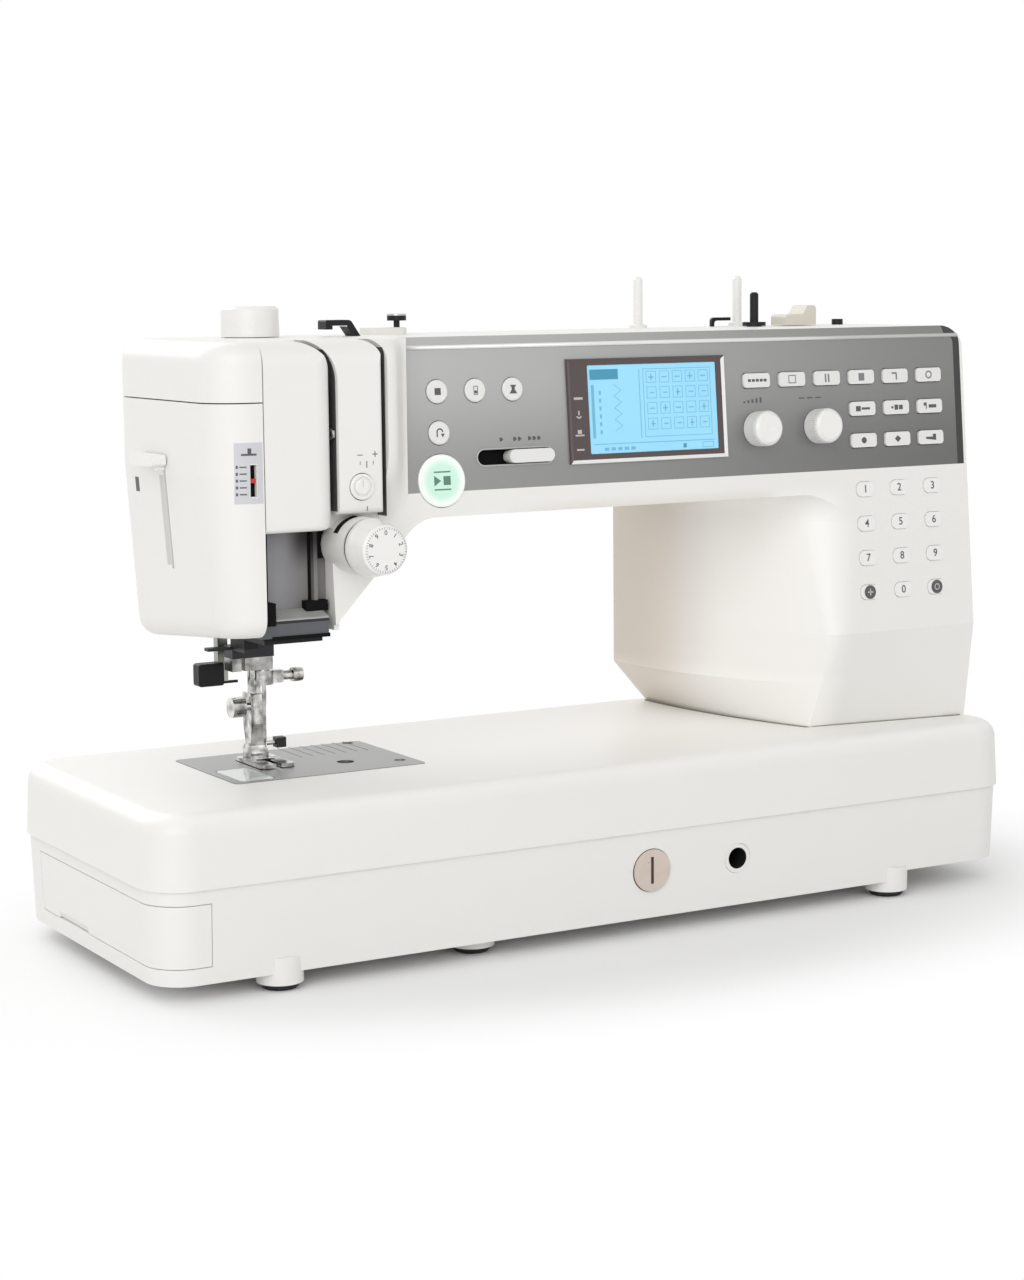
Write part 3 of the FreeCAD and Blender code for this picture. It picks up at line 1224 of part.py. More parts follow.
# Knobs on the head and the bed
def make_tension_dial():
    back = CLEAR
    rim = back + TENSION_GAP
    reach = TENSION_LENGTH
    nose = TENSION_RADIUS - TENSION_TAPER
    profile = [(0, -TENSION_COLLAR - 12), (TENSION_STEM, -TENSION_COLLAR - 12), (TENSION_STEM, back),
               (TENSION_RADIUS - TENSION_GAP, back), (TENSION_RADIUS - TENSION_GAP, rim),
               (TENSION_RADIUS - 0.5, rim),
               (TENSION_RADIUS, rim + 0.6), (TENSION_RADIUS, rim + 3), (nose, reach - 1.2),
               (nose - 1.2, reach), (0, reach)]
    return turned(profile, V(STRIP_MIDDLE, COLLAR_END, TENSION_Z), V(0, -1, 0))


def make_balance_dial():
    ring = BALANCE_RADIUS
    profile = [(0, -4.8), (ring, -4.8), (ring, 0.8), (ring - 0.5, 1.2), (ring - 1.4, 1.2),
               (ring - 1.6, 0.4),
               (ring - 2.3, 0.4), (ring - 2.5, 1.2), (ring - 3.1, 1.5), (0, 1.5)]
    dial = turned(profile, V(STRIP_MIDDLE, STRIP_FRONT, BALANCE_Z), V(0, -1, 0))
    notch = box(STRIP_MIDDLE - 0.4, STRIP_MIDDLE + 0.4, STRIP_FRONT - 2, STRIP_FRONT - 0.9, BALANCE_Z,
                BALANCE_Z + ring)
    return less(dial, [notch])


def make_pressure_dial():
    low = BODY_TOP + CLEAR
    high = BODY_TOP + PRESSURE_HEIGHT
    stem = BODY_TOP - 13
    profile = [(0, stem), (PRESSURE_STEM, stem), (PRESSURE_STEM, low), (PRESSURE_RADIUS, low),
               (PRESSURE_RADIUS - 0.4, high - 1.5),
               (PRESSURE_RADIUS - 1.9, high), (0, high)]
    return turned(profile, V(NEEDLE_X, PRESSURE_Y, 0), ALONG_Z)


def make_pressure_marker():
    middle = GAUGE_Z + GAUGE_HEIGHT / 2
    return box(GAUGE_X + CLEAR, GAUGE_X + GAUGE_SLOT - CLEAR, HEAD_FRONT + 0.8, HEAD_FRONT + 8,
               middle - 1, middle + 1)


def base_face(z):
    return BED_SIDE - COVER_OVERHANG - BED_DRAFT * (BED_PARTING - z) / (BED_PARTING - BASE_BOTTOM)


def make_feed_dial():
    face = -base_face(FEED_DIAL_Z) - 0.8
    disc = rod(FEED_DIAL_RADIUS, V(FEED_DIAL_X, face, FEED_DIAL_Z), ALONG_Y, 14)
    slot = box(FEED_DIAL_X - 0.9, FEED_DIAL_X + 0.9, face - 1, face + 1.4, FEED_DIAL_Z - 7,
               FEED_DIAL_Z + 7)
    return less(disc, [slot])


def make_sockets():
    face = -base_face(FEED_DIAL_Z)
    tube = rod(KNEE_RADIUS - FIT, V(KNEE_X, face, FEED_DIAL_Z), ALONG_Y, KNEE_LENGTH)
    bore = rod(KNEE_BORE, V(KNEE_X, face - 1, FEED_DIAL_Z), ALONG_Y, KNEE_LENGTH - KNEE_END_WALL + 1)
    inlet, switch, jack = side_sockets(FIT)
    flush = box(0, BED_END_FACE, -BED_SIDE, BED_SIDE, 0, BED_TOP)
    x0 = BED_END_FACE - SOCKET_DEPTH
    half = INLET_WIDTH / 2 - SOCKET_WALL
    mouth = box(x0, BED_END, INLET_Y - half, INLET_Y + half,
                SOCKET_Z - INLET_HEIGHT / 2 + SOCKET_WALL, SOCKET_Z + INLET_HEIGHT / 2 - SOCKET_WALL)
    jack_bore = rod(JACK_BORE, V(x0, JACK_Y, SOCKET_Z), ALONG_X, SOCKET_DEPTH + 5)
    return Part.makeCompound([less(tube, [bore]), less(inlet.common(flush), [mouth]),
                              less(jack.common(flush), [jack_bore])])


def make_power_switch():
    half = SWITCH_WIDTH / 2 - 1
    low = SOCKET_Z - SWITCH_HEIGHT / 2
    pivot = V(BED_END_FACE - SWITCH_DEPTH / 2, SWITCH_Y, low + CLEAR)
    crown = BED_END_FACE + 0.2
    rear = BED_END_FACE - SWITCH_DEPTH
    sides = [(rear, SWITCH_Y - half), (crown, SWITCH_Y - half), (crown - SWITCH_DISH, SWITCH_Y),
             (crown, SWITCH_Y + half),
             (rear, SWITCH_Y + half)]
    rocker = plan_slab(sides, low + 2 * CLEAR, low + SWITCH_HEIGHT - 2 * CLEAR)
    rocker.rotate(pivot, ALONG_Z, SWITCH_TILT)
    return joined([rocker, rod(SWITCH_PIN, pivot, ALONG_Z, SWITCH_HEIGHT - 2 * CLEAR)])


def make_threader():
    half = THREADER_SLOT / 2 - CLEAR
    stem = box(HEAD_LEFT - 5, HEAD_LEFT + 12, THREADER_Y - half, THREADER_Y + half, THREADER_TOP - 1,
               THREADER_TOP + 2)
    front = THREADER_Y - 4
    low = THREADER_TOP + 1
    tab = rectangle(front, front + THREADER_TAB, low, low + THREADER_TAB_HEIGHT, 2)
    grip = slab(tab, in_side(HEAD_LEFT - THREADER_REACH), V(THREADER_REACH - CLEAR - 0.2, 0, 0))
    return joined([stem, grip])


# Hand wheel, shaft, motor and cast frame
def make_hand_wheel():
    low = COLUMN_RIGHT + WHEEL_GAP
    high = BED_END + WHEEL_OVERHANG
    bore = SHAFT_RADIUS + FIT
    profile = [(bore, low), (WHEEL_RADIUS - 3, low), (WHEEL_RADIUS, low + 3), (WHEEL_RADIUS, high - 4),
               (WHEEL_RADIUS - 4, high),
               (WHEEL_RADIUS - 9, high), (WHEEL_RADIUS - 12, high - 3), (0, high - 3), (0, low + 10),
               (bore, low + 10)]
    return turned(profile, V(0, SHAFT_Y, SHAFT_Z), ALONG_X)


def make_upper_shaft():
    end = COLUMN_RIGHT + WHEEL_GAP + 10
    start = FRAME_LUG_X - 9
    shaft = rod(SHAFT_RADIUS, V(start, SHAFT_Y, SHAFT_Z), ALONG_X, end - start)
    crank = rod(CRANK_RADIUS, V(start, SHAFT_Y, SHAFT_Z), ALONG_X, 6)
    pulley = rod(PULLEY_RADIUS, V(FRAME_RIGHT + 6, SHAFT_Y, SHAFT_Z), ALONG_X, 10)
    return joined([shaft, crank, pulley])


def make_motor():
    right = FRAME_RIGHT + 4
    body = rod(MOTOR_RADIUS, V(right - MOTOR_LENGTH, MOTOR_Y, MOTOR_Z), ALONG_X, MOTOR_LENGTH)
    pulley = rod(8, V(right, MOTOR_Y, MOTOR_Z), ALONG_X, 12)
    bracket = box(FRAME_POST + 8, FRAME_RIGHT - 8, MOTOR_Y, FRAME_FRONT, MOTOR_Z - 12, MOTOR_Z + 12)
    return joined([body, pulley, bracket])


def make_arm_frame():
    low = BED_PARTING + 8
    beam_low = SHAFT_Z - 12
    beam_high = SHAFT_Z + 22
    left = NEEDLE_X - 32
    outer = [(left, low), (FRAME_RIGHT, low), (FRAME_RIGHT, beam_high, 12),
             (NEEDLE_X - 15, beam_high, 4), (NEEDLE_X - 15, beam_low, 4),
             (FRAME_POST, beam_low, 14), (FRAME_POST, low + 18, 14), (left, low + 18, 4)]
    body = slab(outer, in_front(FRAME_FRONT), V(0, FRAME_DEPTH, 0))
    end_plate = box(NEEDLE_X + 9, NEEDLE_X + 13, FRAME_FRONT, FRAME_BACK, LUG_Z, beam_high)
    lug_back = FRAME_FRONT + 6
    lower_lug = box(NEEDLE_X - 8, NEEDLE_X + 13, NEEDLE_Y - 8, lug_back, LUG_Z, LUG_Z + 10)
    upper_lug = box(NEEDLE_X - 8, NEEDLE_X + 13, NEEDLE_Y - 8, lug_back, beam_low, beam_low + 12)
    shaft_lug = box(FRAME_LUG_X, FRAME_LUG_X + 10, TAKE_UP_Y - 7, lug_back, SHAFT_Z - 9, SHAFT_Z + 9)
    right_lug = box(FRAME_RIGHT - 12, FRAME_RIGHT, SHAFT_Y - 10, lug_back, SHAFT_Z - 9, SHAFT_Z + 9)
    hook_lug = box(HOOK_X - 7, HOOK_X + 7, HOOK_Y - 7, lug_back, low - 5, low + 1)
    legs = [rod(7, V(x, FRAME_FRONT + FRAME_DEPTH / 2, BASE_BOTTOM + WALL), ALONG_Z,
                low - BASE_BOTTOM - WALL + 1)
            for x in (NEEDLE_X + 40, FRAME_POST - 10)]
    pin = rod(LIFTER_PIN, V(NEEDLE_X + 12, LIFTER_Y, LIFTER_Z), ALONG_X,
              LIFTER_OFFSET + LIFTER_WIDTH - 10)
    bores = [rod(NEEDLE_BAR_RADIUS + SHAFT_FIT, V(NEEDLE_X, NEEDLE_Y, BED_TOP), ALONG_Z, BODY_TOP),
             rod(PRESSER_RADIUS + SHAFT_FIT, V(NEEDLE_X, PRESSER_Y, BED_TOP), ALONG_Z, BODY_TOP),
             rod(SHAFT_RADIUS + SHAFT_FIT, V(FRAME_LUG_X - 5, SHAFT_Y, SHAFT_Z), ALONG_X, BED_LENGTH),
             rod(TAKE_UP_PIN + SHAFT_FIT, V(FRAME_LUG_X - 5, TAKE_UP_Y, TAKE_UP_Z), ALONG_X,
                 FRAME_POST_WIDTH),
             rod(HOOK_SPINDLE + SHAFT_FIT, V(HOOK_X, HOOK_Y, 0), ALONG_Z, BED_TOP)]
    solid = joined([body, end_plate, lower_lug, upper_lug, shaft_lug, right_lug, hook_lug, pin] + legs)
    return less(solid, bores)


# Spool pins, thread guides and bobbin winder on the arm
def make_spool_pins():
    pins = []
    for x in (SPOOL_1_X, SPOOL_2_X):
        profile = [(0, BODY_TOP), (5, BODY_TOP), (5, BODY_TOP + 1.5),
                   (SPOOL_PIN_RADIUS, BODY_TOP + 2.5),
                   (SPOOL_PIN_RADIUS, SPOOL_PIN_TOP - 1.5), (SPOOL_PIN_RADIUS - 1, SPOOL_PIN_TOP),
                   (0, SPOOL_PIN_TOP)]
        pins.append(turned(profile, V(x, SPOOL_PIN_Y, 0), ALONG_Z))
    return Part.makeCompound(pins)


def make_thread_guides():
    top = BODY_TOP
    x = NEEDLE_X + BENT_GUIDE_OFFSET
    hook = [(x, top + 3.5), (x, top + 8.2, 1), (x + 14, top + 8.2, 3), (x + 19.5, top), (x + 15.5, top),
            (x + 11.8, top + 5.2, 2), (x + 4, top + 5.2), (x + 4, top + 3.5)]
    bent = slab(hook, in_front(-4), V(0, 9, 0))
    x = NEEDLE_X + DISC_GUIDE_OFFSET
    base = plan_slab(rectangle(x, x + 24, 12, 26, 5), top, top + 3.5)
    post = rod(1.6, V(x + 20, 19, top + 3), ALONG_Z, 5)
    disc = rod(5, V(x + 20, 19, top + 7), ALONG_Z, 3.5)
    x = SPOOL_2_X - LOOP_BEFORE_SPOOL
    bow = [(x, top), (x + 2, top), (x + 2, top + 3.2, 1.5), (x + 13, top + 3.2), (x + 13, top + 5),
           (x, top + 5, 2)]
    loop = slab(bow, in_front(SPOOL_PIN_Y - 1), V(0, 2, 0))
    cutter = rod(CUTTER_RADIUS, V(COLUMN_RIGHT - CUTTER_INSET, WINDER_Y + 4, top), ALONG_Z,
                 CUTTER_RADIUS)
    return Part.makeCompound([bent, joined([base, post, disc]), loop, cutter])


def make_winder():
    profile = [(0, BODY_TOP - 12), (WINDER_STEM, BODY_TOP - 12), (WINDER_STEM, BODY_TOP + CLEAR),
               (6.5, BODY_TOP + CLEAR),
               (6.5, BODY_TOP + 2.5), (WINDER_RADIUS, BODY_TOP + 2.5), (WINDER_RADIUS, WINDER_TOP - 1),
               (WINDER_RADIUS - 1, WINDER_TOP),
               (0, WINDER_TOP)]
    return turned(profile, V(WINDER_X, WINDER_Y, 0), ALONG_Z)


def make_stopper():
    left = WINDER_X + STOPPER_GAP
    low = BODY_TOP + CLEAR
    side = [(left, low), (left + 21, low), (left + 21, low + 11, 2), (left + 15, low + 11, 2),
            (left + 12, low + 6, 2),
            (left, low + 6, 2)]
    return slab(side, in_front(WINDER_Y - 7), V(0, 14, 0))


os.makedirs("parts", exist_ok=True)
shell = housing_shell()
face_cover, face_cap = make_face_covers()
pieces = {
    "bed_cover": make_bed_cover(),
    "bed_base": make_bed_base(),
    "feet": make_feet(),
    "accessory_drawer": make_drawer(),
    "front_housing": make_front_housing(shell),
    "rear_housing": make_rear_housing(shell),
    "face_cover": face_cover,
    "face_cap": face_cap,
    "head_front": make_head_front(),
    "thread_strip": make_thread_strip(),
    "head_guard": make_head_guard(),
    "control_panel": make_control_panel(),
    "display": make_display(),
    "number_pad": make_number_pad(),
    "needle_plate": make_needle_plate(),
    "bobbin_cover": make_bobbin_cover(),
    "feed_dog": make_feed_dog(),
    "rotary_hook": make_hook(),
    "bobbin": make_bobbin(),
    "needle_bar": make_needle_bar(),
    "presser_bar": make_presser_bar(),
    "lifter_lever": make_lifter(),
    "buttonhole_lever": make_buttonhole_lever(),
    "take_up_lever": make_take_up(),
    "tension_dial": make_tension_dial(),
    "balance_dial": make_balance_dial(),
    "pressure_dial": make_pressure_dial(),
    "pressure_marker": make_pressure_marker(),
    "feed_dial": make_feed_dial(),
    "sockets": make_sockets(),
    "power_switch": make_power_switch(),
    "threader_lever": make_threader(),
    "hand_wheel": make_hand_wheel(),
    "upper_shaft": make_upper_shaft(),
    "motor": make_motor(),
    "arm_frame": make_arm_frame(),
    "spool_pins": make_spool_pins(),
    "thread_guides": make_thread_guides(),
    "winder_spindle": make_winder(),
    "bobbin_stopper": make_stopper(),
    "start_button": make_button(start_place(), START_RADIUS),
    "speed_slider": make_slider(),
    "width_dial": make_knob(knob_places()[0]),
    "length_dial": make_knob(knob_places()[1]),
}
for name, place in zip(("lock_button", "needle_button", "cutter_button", "reverse_button"),
                       button_places()):
    pieces[name] = make_button(place, BUTTON_RADIUS)
for number, place in enumerate(key_places(), 1):
    pieces["panel_key_%02d" % number] = make_key(place)
for name, shape in pieces.items():
    save(name, shape)
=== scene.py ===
import bpy, bmesh, math
from mathutils import Matrix, Vector
from mathutils.bvhtree import BVHTree


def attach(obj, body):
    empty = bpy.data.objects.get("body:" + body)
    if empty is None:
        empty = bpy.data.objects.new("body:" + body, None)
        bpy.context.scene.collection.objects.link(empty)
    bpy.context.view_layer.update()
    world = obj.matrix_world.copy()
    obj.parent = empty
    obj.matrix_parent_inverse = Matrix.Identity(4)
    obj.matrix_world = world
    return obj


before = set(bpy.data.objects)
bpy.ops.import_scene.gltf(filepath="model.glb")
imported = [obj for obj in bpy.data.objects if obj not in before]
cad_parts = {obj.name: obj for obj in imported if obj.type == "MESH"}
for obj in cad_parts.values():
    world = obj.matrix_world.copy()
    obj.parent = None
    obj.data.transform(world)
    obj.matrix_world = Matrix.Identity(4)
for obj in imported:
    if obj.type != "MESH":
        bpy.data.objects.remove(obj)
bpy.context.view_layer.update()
mm = 0.001
bedShift = Vector((-4.5, 2.928145, 0)) * mm # bed centre to frame origin
print("frame loaded", len(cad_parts), "nodes")


# Places are written in millimetres from the middle of the bed
def at(x, y, z):
    return Vector((x, y, z)) * mm + bedShift


armFront = {"y": -71, "z": 143, "back": 13.7, "rise": 159} # it leans back as it rises
lean = math.atan2(armFront["back"], armFront["rise"])
faceNormal = Vector((0, -math.cos(lean), math.sin(lean)))
faceUp = Vector((0, math.sin(lean), math.cos(lean)))
alongX = Vector((1, 0, 0))
alongY = Vector((0, 1, 0))
alongZ = Vector((0, 0, 1))
sunk = 0.05 # how far prints and patches reach into their surface


def faceY(z):
    return armFront["y"] + (z - armFront["z"]) * math.tan(lean)


# A seat is a matrix: its X and Y lie in a surface, its Z points out
def seat(place, right, up):
    out = right.cross(up)
    return Matrix.Translation(place) @ Matrix((right, up, out)).transposed().to_4x4()


def panelSeat(x, z, out=0.0):
    return seat(at(x, faceY(z), z) + faceNormal * out * mm, alongX, faceUp)


def frontSeat(x, y, z):
    return seat(at(x, y, z), alongX, alongZ)


def linked(name, data):
    thing = bpy.data.objects.new(name, data)
    bpy.context.collection.objects.link(thing)
    return thing


def plainMesh(holder):
    return bpy.data.meshes.new_from_object(holder.evaluated_get(bpy.context.evaluated_depsgraph_get()))


# Focal length in picture pixels, and the picture's long side
cameraSet = {"place": (-708.64, -1216.08, 335.70), "yaw": 29.883, "pitch": 7.752, "roll": -0.575,
             "focal": 2665.93, "pixels": 1280, "sensor": 36}


def addCamera(s):
    yaw, pitch, roll = (math.radians(s[k]) for k in ("yaw", "pitch", "roll"))
    forward = Vector((math.sin(yaw) * math.cos(pitch), math.cos(yaw) * math.cos(pitch), -math.sin(pitch)))
    right = Vector((math.cos(yaw), -math.sin(yaw), 0))
    up = right.cross(forward)
    right, up = right * math.cos(roll) + up * math.sin(roll), up * math.cos(roll) - right * math.sin(roll)
    lens = bpy.data.cameras.new("photoCamera")
    lens.sensor_width = s["sensor"]
    lens.lens = s["focal"] * s["sensor"] / s["pixels"]
    lens.clip_end = 20
    camera = linked("photoCamera", lens)
    turn = Matrix((right, up, -forward)).transposed().to_4x4()
    camera.matrix_world = Matrix.Translation(at(*s["place"])) @ turn
    bpy.context.scene.camera = camera


addCamera(cameraSet)


def newMaterial(name):
    material = bpy.data.materials.new(name)
    material.use_nodes = True
    tree = material.node_tree
    coords = tree.nodes.new("ShaderNodeTexCoord").outputs["Object"]
    return material, tree, tree.nodes["Principled BSDF"], coords


def mathNode(tree, operation, first, second):
    node = tree.nodes.new("ShaderNodeMath")
    node.operation = operation
    for socket, value in zip(node.inputs, (first, second)):
        if isinstance(value, (int, float)):
            socket.default_value = value
        else:
            tree.links.new(value, socket)
    return node.outputs[0]


def splitAxes(tree, coords):
    split = tree.nodes.new("ShaderNodeSeparateXYZ")
    tree.links.new(coords, split.inputs[0])
    return split.outputs


def ranged(tree, value, low, high, least=0.0, most=1.0, eased=False):
    node = tree.nodes.new("ShaderNodeMapRange")
    if eased:
        node.interpolation_type = "SMOOTHSTEP"
    for label, number in (("From Min", low), ("From Max", high), ("To Min", least), ("To Max", most)):
        node.inputs[label].default_value = number
    tree.links.new(value, node.inputs["Value"])
    return node.outputs["Result"]


def noise(tree, coords, scale, detail):
    node = tree.nodes.new("ShaderNodeTexNoise")
    node.inputs["Scale"].default_value = scale
    node.inputs["Detail"].default_value = detail
    tree.links.new(coords, node.inputs["Vector"])
    return node.outputs["Fac"]


def stretched(tree, coords, scale):
    node = tree.nodes.new("ShaderNodeMapping")
    node.inputs["Scale"].default_value = scale
    tree.links.new(coords, node.inputs["Vector"])
    return node.outputs["Vector"]


# 1 inside a box given in bed millimetres, 0 outside; None leaves a side open
# A hub and a radius keep only what lies beyond that radius round an axis along Y
def zoneMask(tree, coords, zone):
    axes = splitAxes(tree, coords)
    mask = 1.0
    for axis in range(3):
        for side, operation in (("low", "GREATER_THAN"), ("high", "LESS_THAN")):
            if zone[side][axis] is None:
                continue
            edge = zone[side][axis] * mm + bedShift[axis]
            mask = mathNode(tree, "MULTIPLY", mathNode(tree, operation, axes[axis], edge), mask)
    if "hub" in zone:
        hub = at(zone["hub"][0], 0, zone["hub"][1])
        across = mathNode(tree, "SUBTRACT", axes[0], hub.x)
        above = mathNode(tree, "SUBTRACT", axes[2], hub.z)
        squares = mathNode(tree, "ADD", mathNode(tree, "POWER", across, 2), mathNode(tree, "POWER", above, 2))
        beyond = mathNode(tree, "GREATER_THAN", squares, (zone["beyond"] * mm) ** 2)
        mask = mathNode(tree, "MULTIPLY", beyond, mask)
    return mask


# 0 to 1 along one axis, eased at both ends
def slope(tree, coords, axis, low, high):
    ends = [edge * mm + bedShift[axis] for edge in (low, high)]
    return ranged(tree, splitAxes(tree, coords)[axis], *ends, eased=True)


def mixed(tree, kind, factor, first, second, blend="MIX"):
    node = tree.nodes.new("ShaderNodeMix")
    node.data_type = kind
    node.blend_type = blend
    names = {"RGBA": (6, 7, 2), "FLOAT": (2, 3, 0)}[kind]
    tree.links.new(factor, node.inputs[0])
    for index, value in zip(names, (first, second)):
        if isinstance(value, (tuple, float)):
            node.inputs[index].default_value = (*value, 1) if isinstance(value, tuple) else value
        else:
            tree.links.new(value, node.inputs[index])
    return node.outputs[names[2]]


grainSet = {"fineDetail": 3, "broadDetail": 4, "bump": 0.4, "leastRough": 0.02}


# Fine grain in the bump and slow drift in the gloss; gives back the drift and the roughness
def grained(tree, shader, coords, rough, grain, depth, drift, cloud, stretch=None):
    grainCoords = stretched(tree, coords, stretch) if stretch else coords
    bump = tree.nodes.new("ShaderNodeBump")
    bump.inputs["Strength"].default_value = depth
    bump.inputs["Distance"].default_value = grainSet["bump"] * mm
    tree.links.new(noise(tree, grainCoords, grain, grainSet["fineDetail"]), bump.inputs["Height"])
    tree.links.new(bump.outputs["Normal"], shader.inputs["Normal"])
    broad = noise(tree, coords, cloud, grainSet["broadDetail"])
    return broad, ranged(tree, broad, 0, 1, max(rough - drift, grainSet["leastRough"]), rough + drift)


# Moulded, painted and plated surfaces
def surface(name, colour, rough, grain=900.0, depth=0.05, drift=0.06, metal=0.0, tint=0.03, coat=0.0,
            cloud=14.0, stretch=None, zones=(), fade=None, shade=None, paintedShading=(), crisp=None, shine=0.5):
    material, tree, shader, coords = newMaterial(name)
    links = tree.links
    broad, roughness = grained(tree, shader, coords, rough, grain, depth, drift, cloud, stretch)
    if crisp:
        broad = ranged(tree, broad, 0.5 - crisp, 0.5 + crisp)
    dark = tuple(c * (1 - tint) for c in colour)
    light = tuple(min(c * (1 + tint), 1) for c in colour)
    base = mixed(tree, "RGBA", broad, dark, light)
    # The fade, the shade and the position tints paint light and shade into the colour
    if fade:
        base = mixed(tree, "RGBA", slope(tree, coords, 0, fade["from"], fade["to"]), base, fade["colour"])
    if shade:
        darker = slope(tree, coords, 2, shade["from"], shade["to"])
        base = mixed(tree, "RGBA", darker, base, shade["colour"], "MULTIPLY")
    for part in paintedShading:
        share = 1.0
        for axis, low, high in part["slopes"]:
            share = mathNode(tree, "MULTIPLY", slope(tree, coords, axis, low, high), share)
        base = mixed(tree, "RGBA", share, base, part["colour"])
    metallic = metal
    for zone in zones:
        mask = zoneMask(tree, coords, zone)
        deep = tuple(c * zone.get("dark", 0.95) for c in zone["colour"])
        tone = mixed(tree, "RGBA", broad, deep, zone["colour"])
        base = mixed(tree, "RGBA", mask, base, tone)
        roughness = mixed(tree, "FLOAT", mask, roughness, zone["rough"])
        if zone.get("metal", 0.0) != metallic:
            metallic = mixed(tree, "FLOAT", mask, metallic, zone.get("metal", 0.0))
    links.new(base, shader.inputs["Base Color"])
    links.new(roughness, shader.inputs["Roughness"])
    if isinstance(metallic, float):
        shader.inputs["Metallic"].default_value = metallic
    else:
        links.new(metallic, shader.inputs["Metallic"])
    shader.inputs["Specular IOR Level"].default_value = shine
    if coat:
        shader.inputs["Coat Weight"].default_value = coat
    return material


# Parts of one casting that carry another finish; in the head guard also a painted highlight on the shelf top
blackZone = {"colour": (0.012, 0.012, 0.013), "rough": 0.45}
guardZones = (
    {"low": (None, None, None), "high": (None, -57.2, 175.2), "colour": (0.11, 0.115, 0.125), "rough": 0.4},
    # painted highlight on the shelf's top
    {"low": (None, None, 174.4), "high": (None, -58.4, 179), "colour": (0.40, 0.40, 0.39), "rough": 0.3},
    # a dark line painted just below the shelf's edge
    {"low": (None, None, 173.0), "high": (None, -60, 174.4), "colour": (0.03, 0.03, 0.033), "rough": 0.4},
    {"low": (None, None, None), "high": (None, None, 166.2), **blackZone},
    {"low": (None, None, 146.4), "high": (None, 20, 153.0), "colour": (0.035, 0.035, 0.04), "rough": 0.35},
    {"low": (None, None, None), "high": (None, 20, 146.4), "colour": (0.60, 0.59, 0.57), "rough": 0.24,
     "metal": 0.9, "dark": 0.3},
)
guideZones = (
    {"low": (-90, 8, 300), "high": (-60, 30, 310.6), "colour": (0.80, 0.79, 0.76), "rough": 0.3},
    {"low": (-72, 8, 316.6), "high": (-60, 30, 330), "colour": (0.55, 0.55, 0.55), "rough": 0.2,
     "metal": 0.9},
    {"low": (-114.2, -10, 306), "high": (-106, 10, 312.4), "colour": (0.78, 0.78, 0.76), "rough": 0.25},
)
stemTone = {"colour": (0.40, 0.42, 0.38), "rough": 0.3, "metal": 0.9}
leverZones = (
    {"low": (-166.4, None, 133), "high": (None, None, None), **stemTone},
    {"low": (None, None, 142.8), "high": (None, None, None), **stemTone},
)
footZones = ({"low": (-139.6, None, 90), "high": (None, None, 104), **blackZone},)
socketZones = ({"low": (60, None, None), "high": (84, None, None), "hub": (71.6, 34.1), "beyond": 5.6,
                "colour": (0.80, 0.79, 0.765), "rough": 0.4},)
feedZones = ({"low": (None, -92.5, None), "high": (None, None, None), "colour": (0.13, 0.10, 0.085),
              "rough": 0.5},)
endTone = {"colour": (0.03, 0.03, 0.03), "rough": 0.3}
panelZones = (
    {"low": (238.6, None, None), "high": (None, None, 297), **endTone},
    {"low": (233, None, 297), "high": (None, None, None), "hub": (233, 297), "beyond": 5.6, **endTone},
)
# Painted shade in the head's recess: darker towards the right, darkest at its upper right
guardPaintedShade = (
    {"slopes": ((0, -174, -158),), "colour": (0.215, 0.205, 0.20)},
    {"slopes": ((0, -169, -159), (2, 194, 213)), "colour": (0.035, 0.033, 0.035)},
)
# Painted light and shade on the column's throat side: darker beige under the arm, lighter on the front corner
# and low on it, darker beige on the low band towards the back
throatPaintedShading = (
    {"slopes": ((0, -60, 0), (0, 124, 103), (2, 226, 212)), "colour": (0.65, 0.585, 0.51)},
    {"slopes": ((0, 103, 122), (0, 168, 142), (2, 226, 212)), "colour": (0.90, 0.885, 0.855)},
    {"slopes": ((0, 103, 118), (0, 168, 142), (2, 124, 114)), "colour": (0.93, 0.915, 0.885)},
    {"slopes": ((1, -15, 75), (0, 152, 138), (2, 122, 114)), "colour": (0.72, 0.66, 0.59)},
)
# Painted light: the bed's top a little lighter than its sides
bedTopPaintedLight = {"slopes": ((2, 84, 89.5),), "colour": (0.87, 0.86, 0.835)}
# Painted shade on the panel: darker towards its right end, and darker towards the bottom
panelPaintedShadeRight = {"from": -120, "to": 290, "colour": (0.205, 0.205, 0.20)}
panelShade = {"from": 290, "to": 234, "colour": (0.66, 0.66, 0.66)}

mouldSet = {"colour": (0.80, 0.79, 0.762), "rough": 0.40, "grain": 1500, "depth": 0.05, "drift": 0.05,
            "tint": 0.012}
# Plating: strong tint and crisp cloud give hard light and dark patches, painted reflections
chromeAndReflectionSet = {"colour": (0.50, 0.495, 0.48), "grain": 400, "depth": 0.01, "metal": 1.0, "crisp": 0.13}
blackSet = {"colour": (0.014, 0.014, 0.016), "grain": 1200, "shine": 0.2}

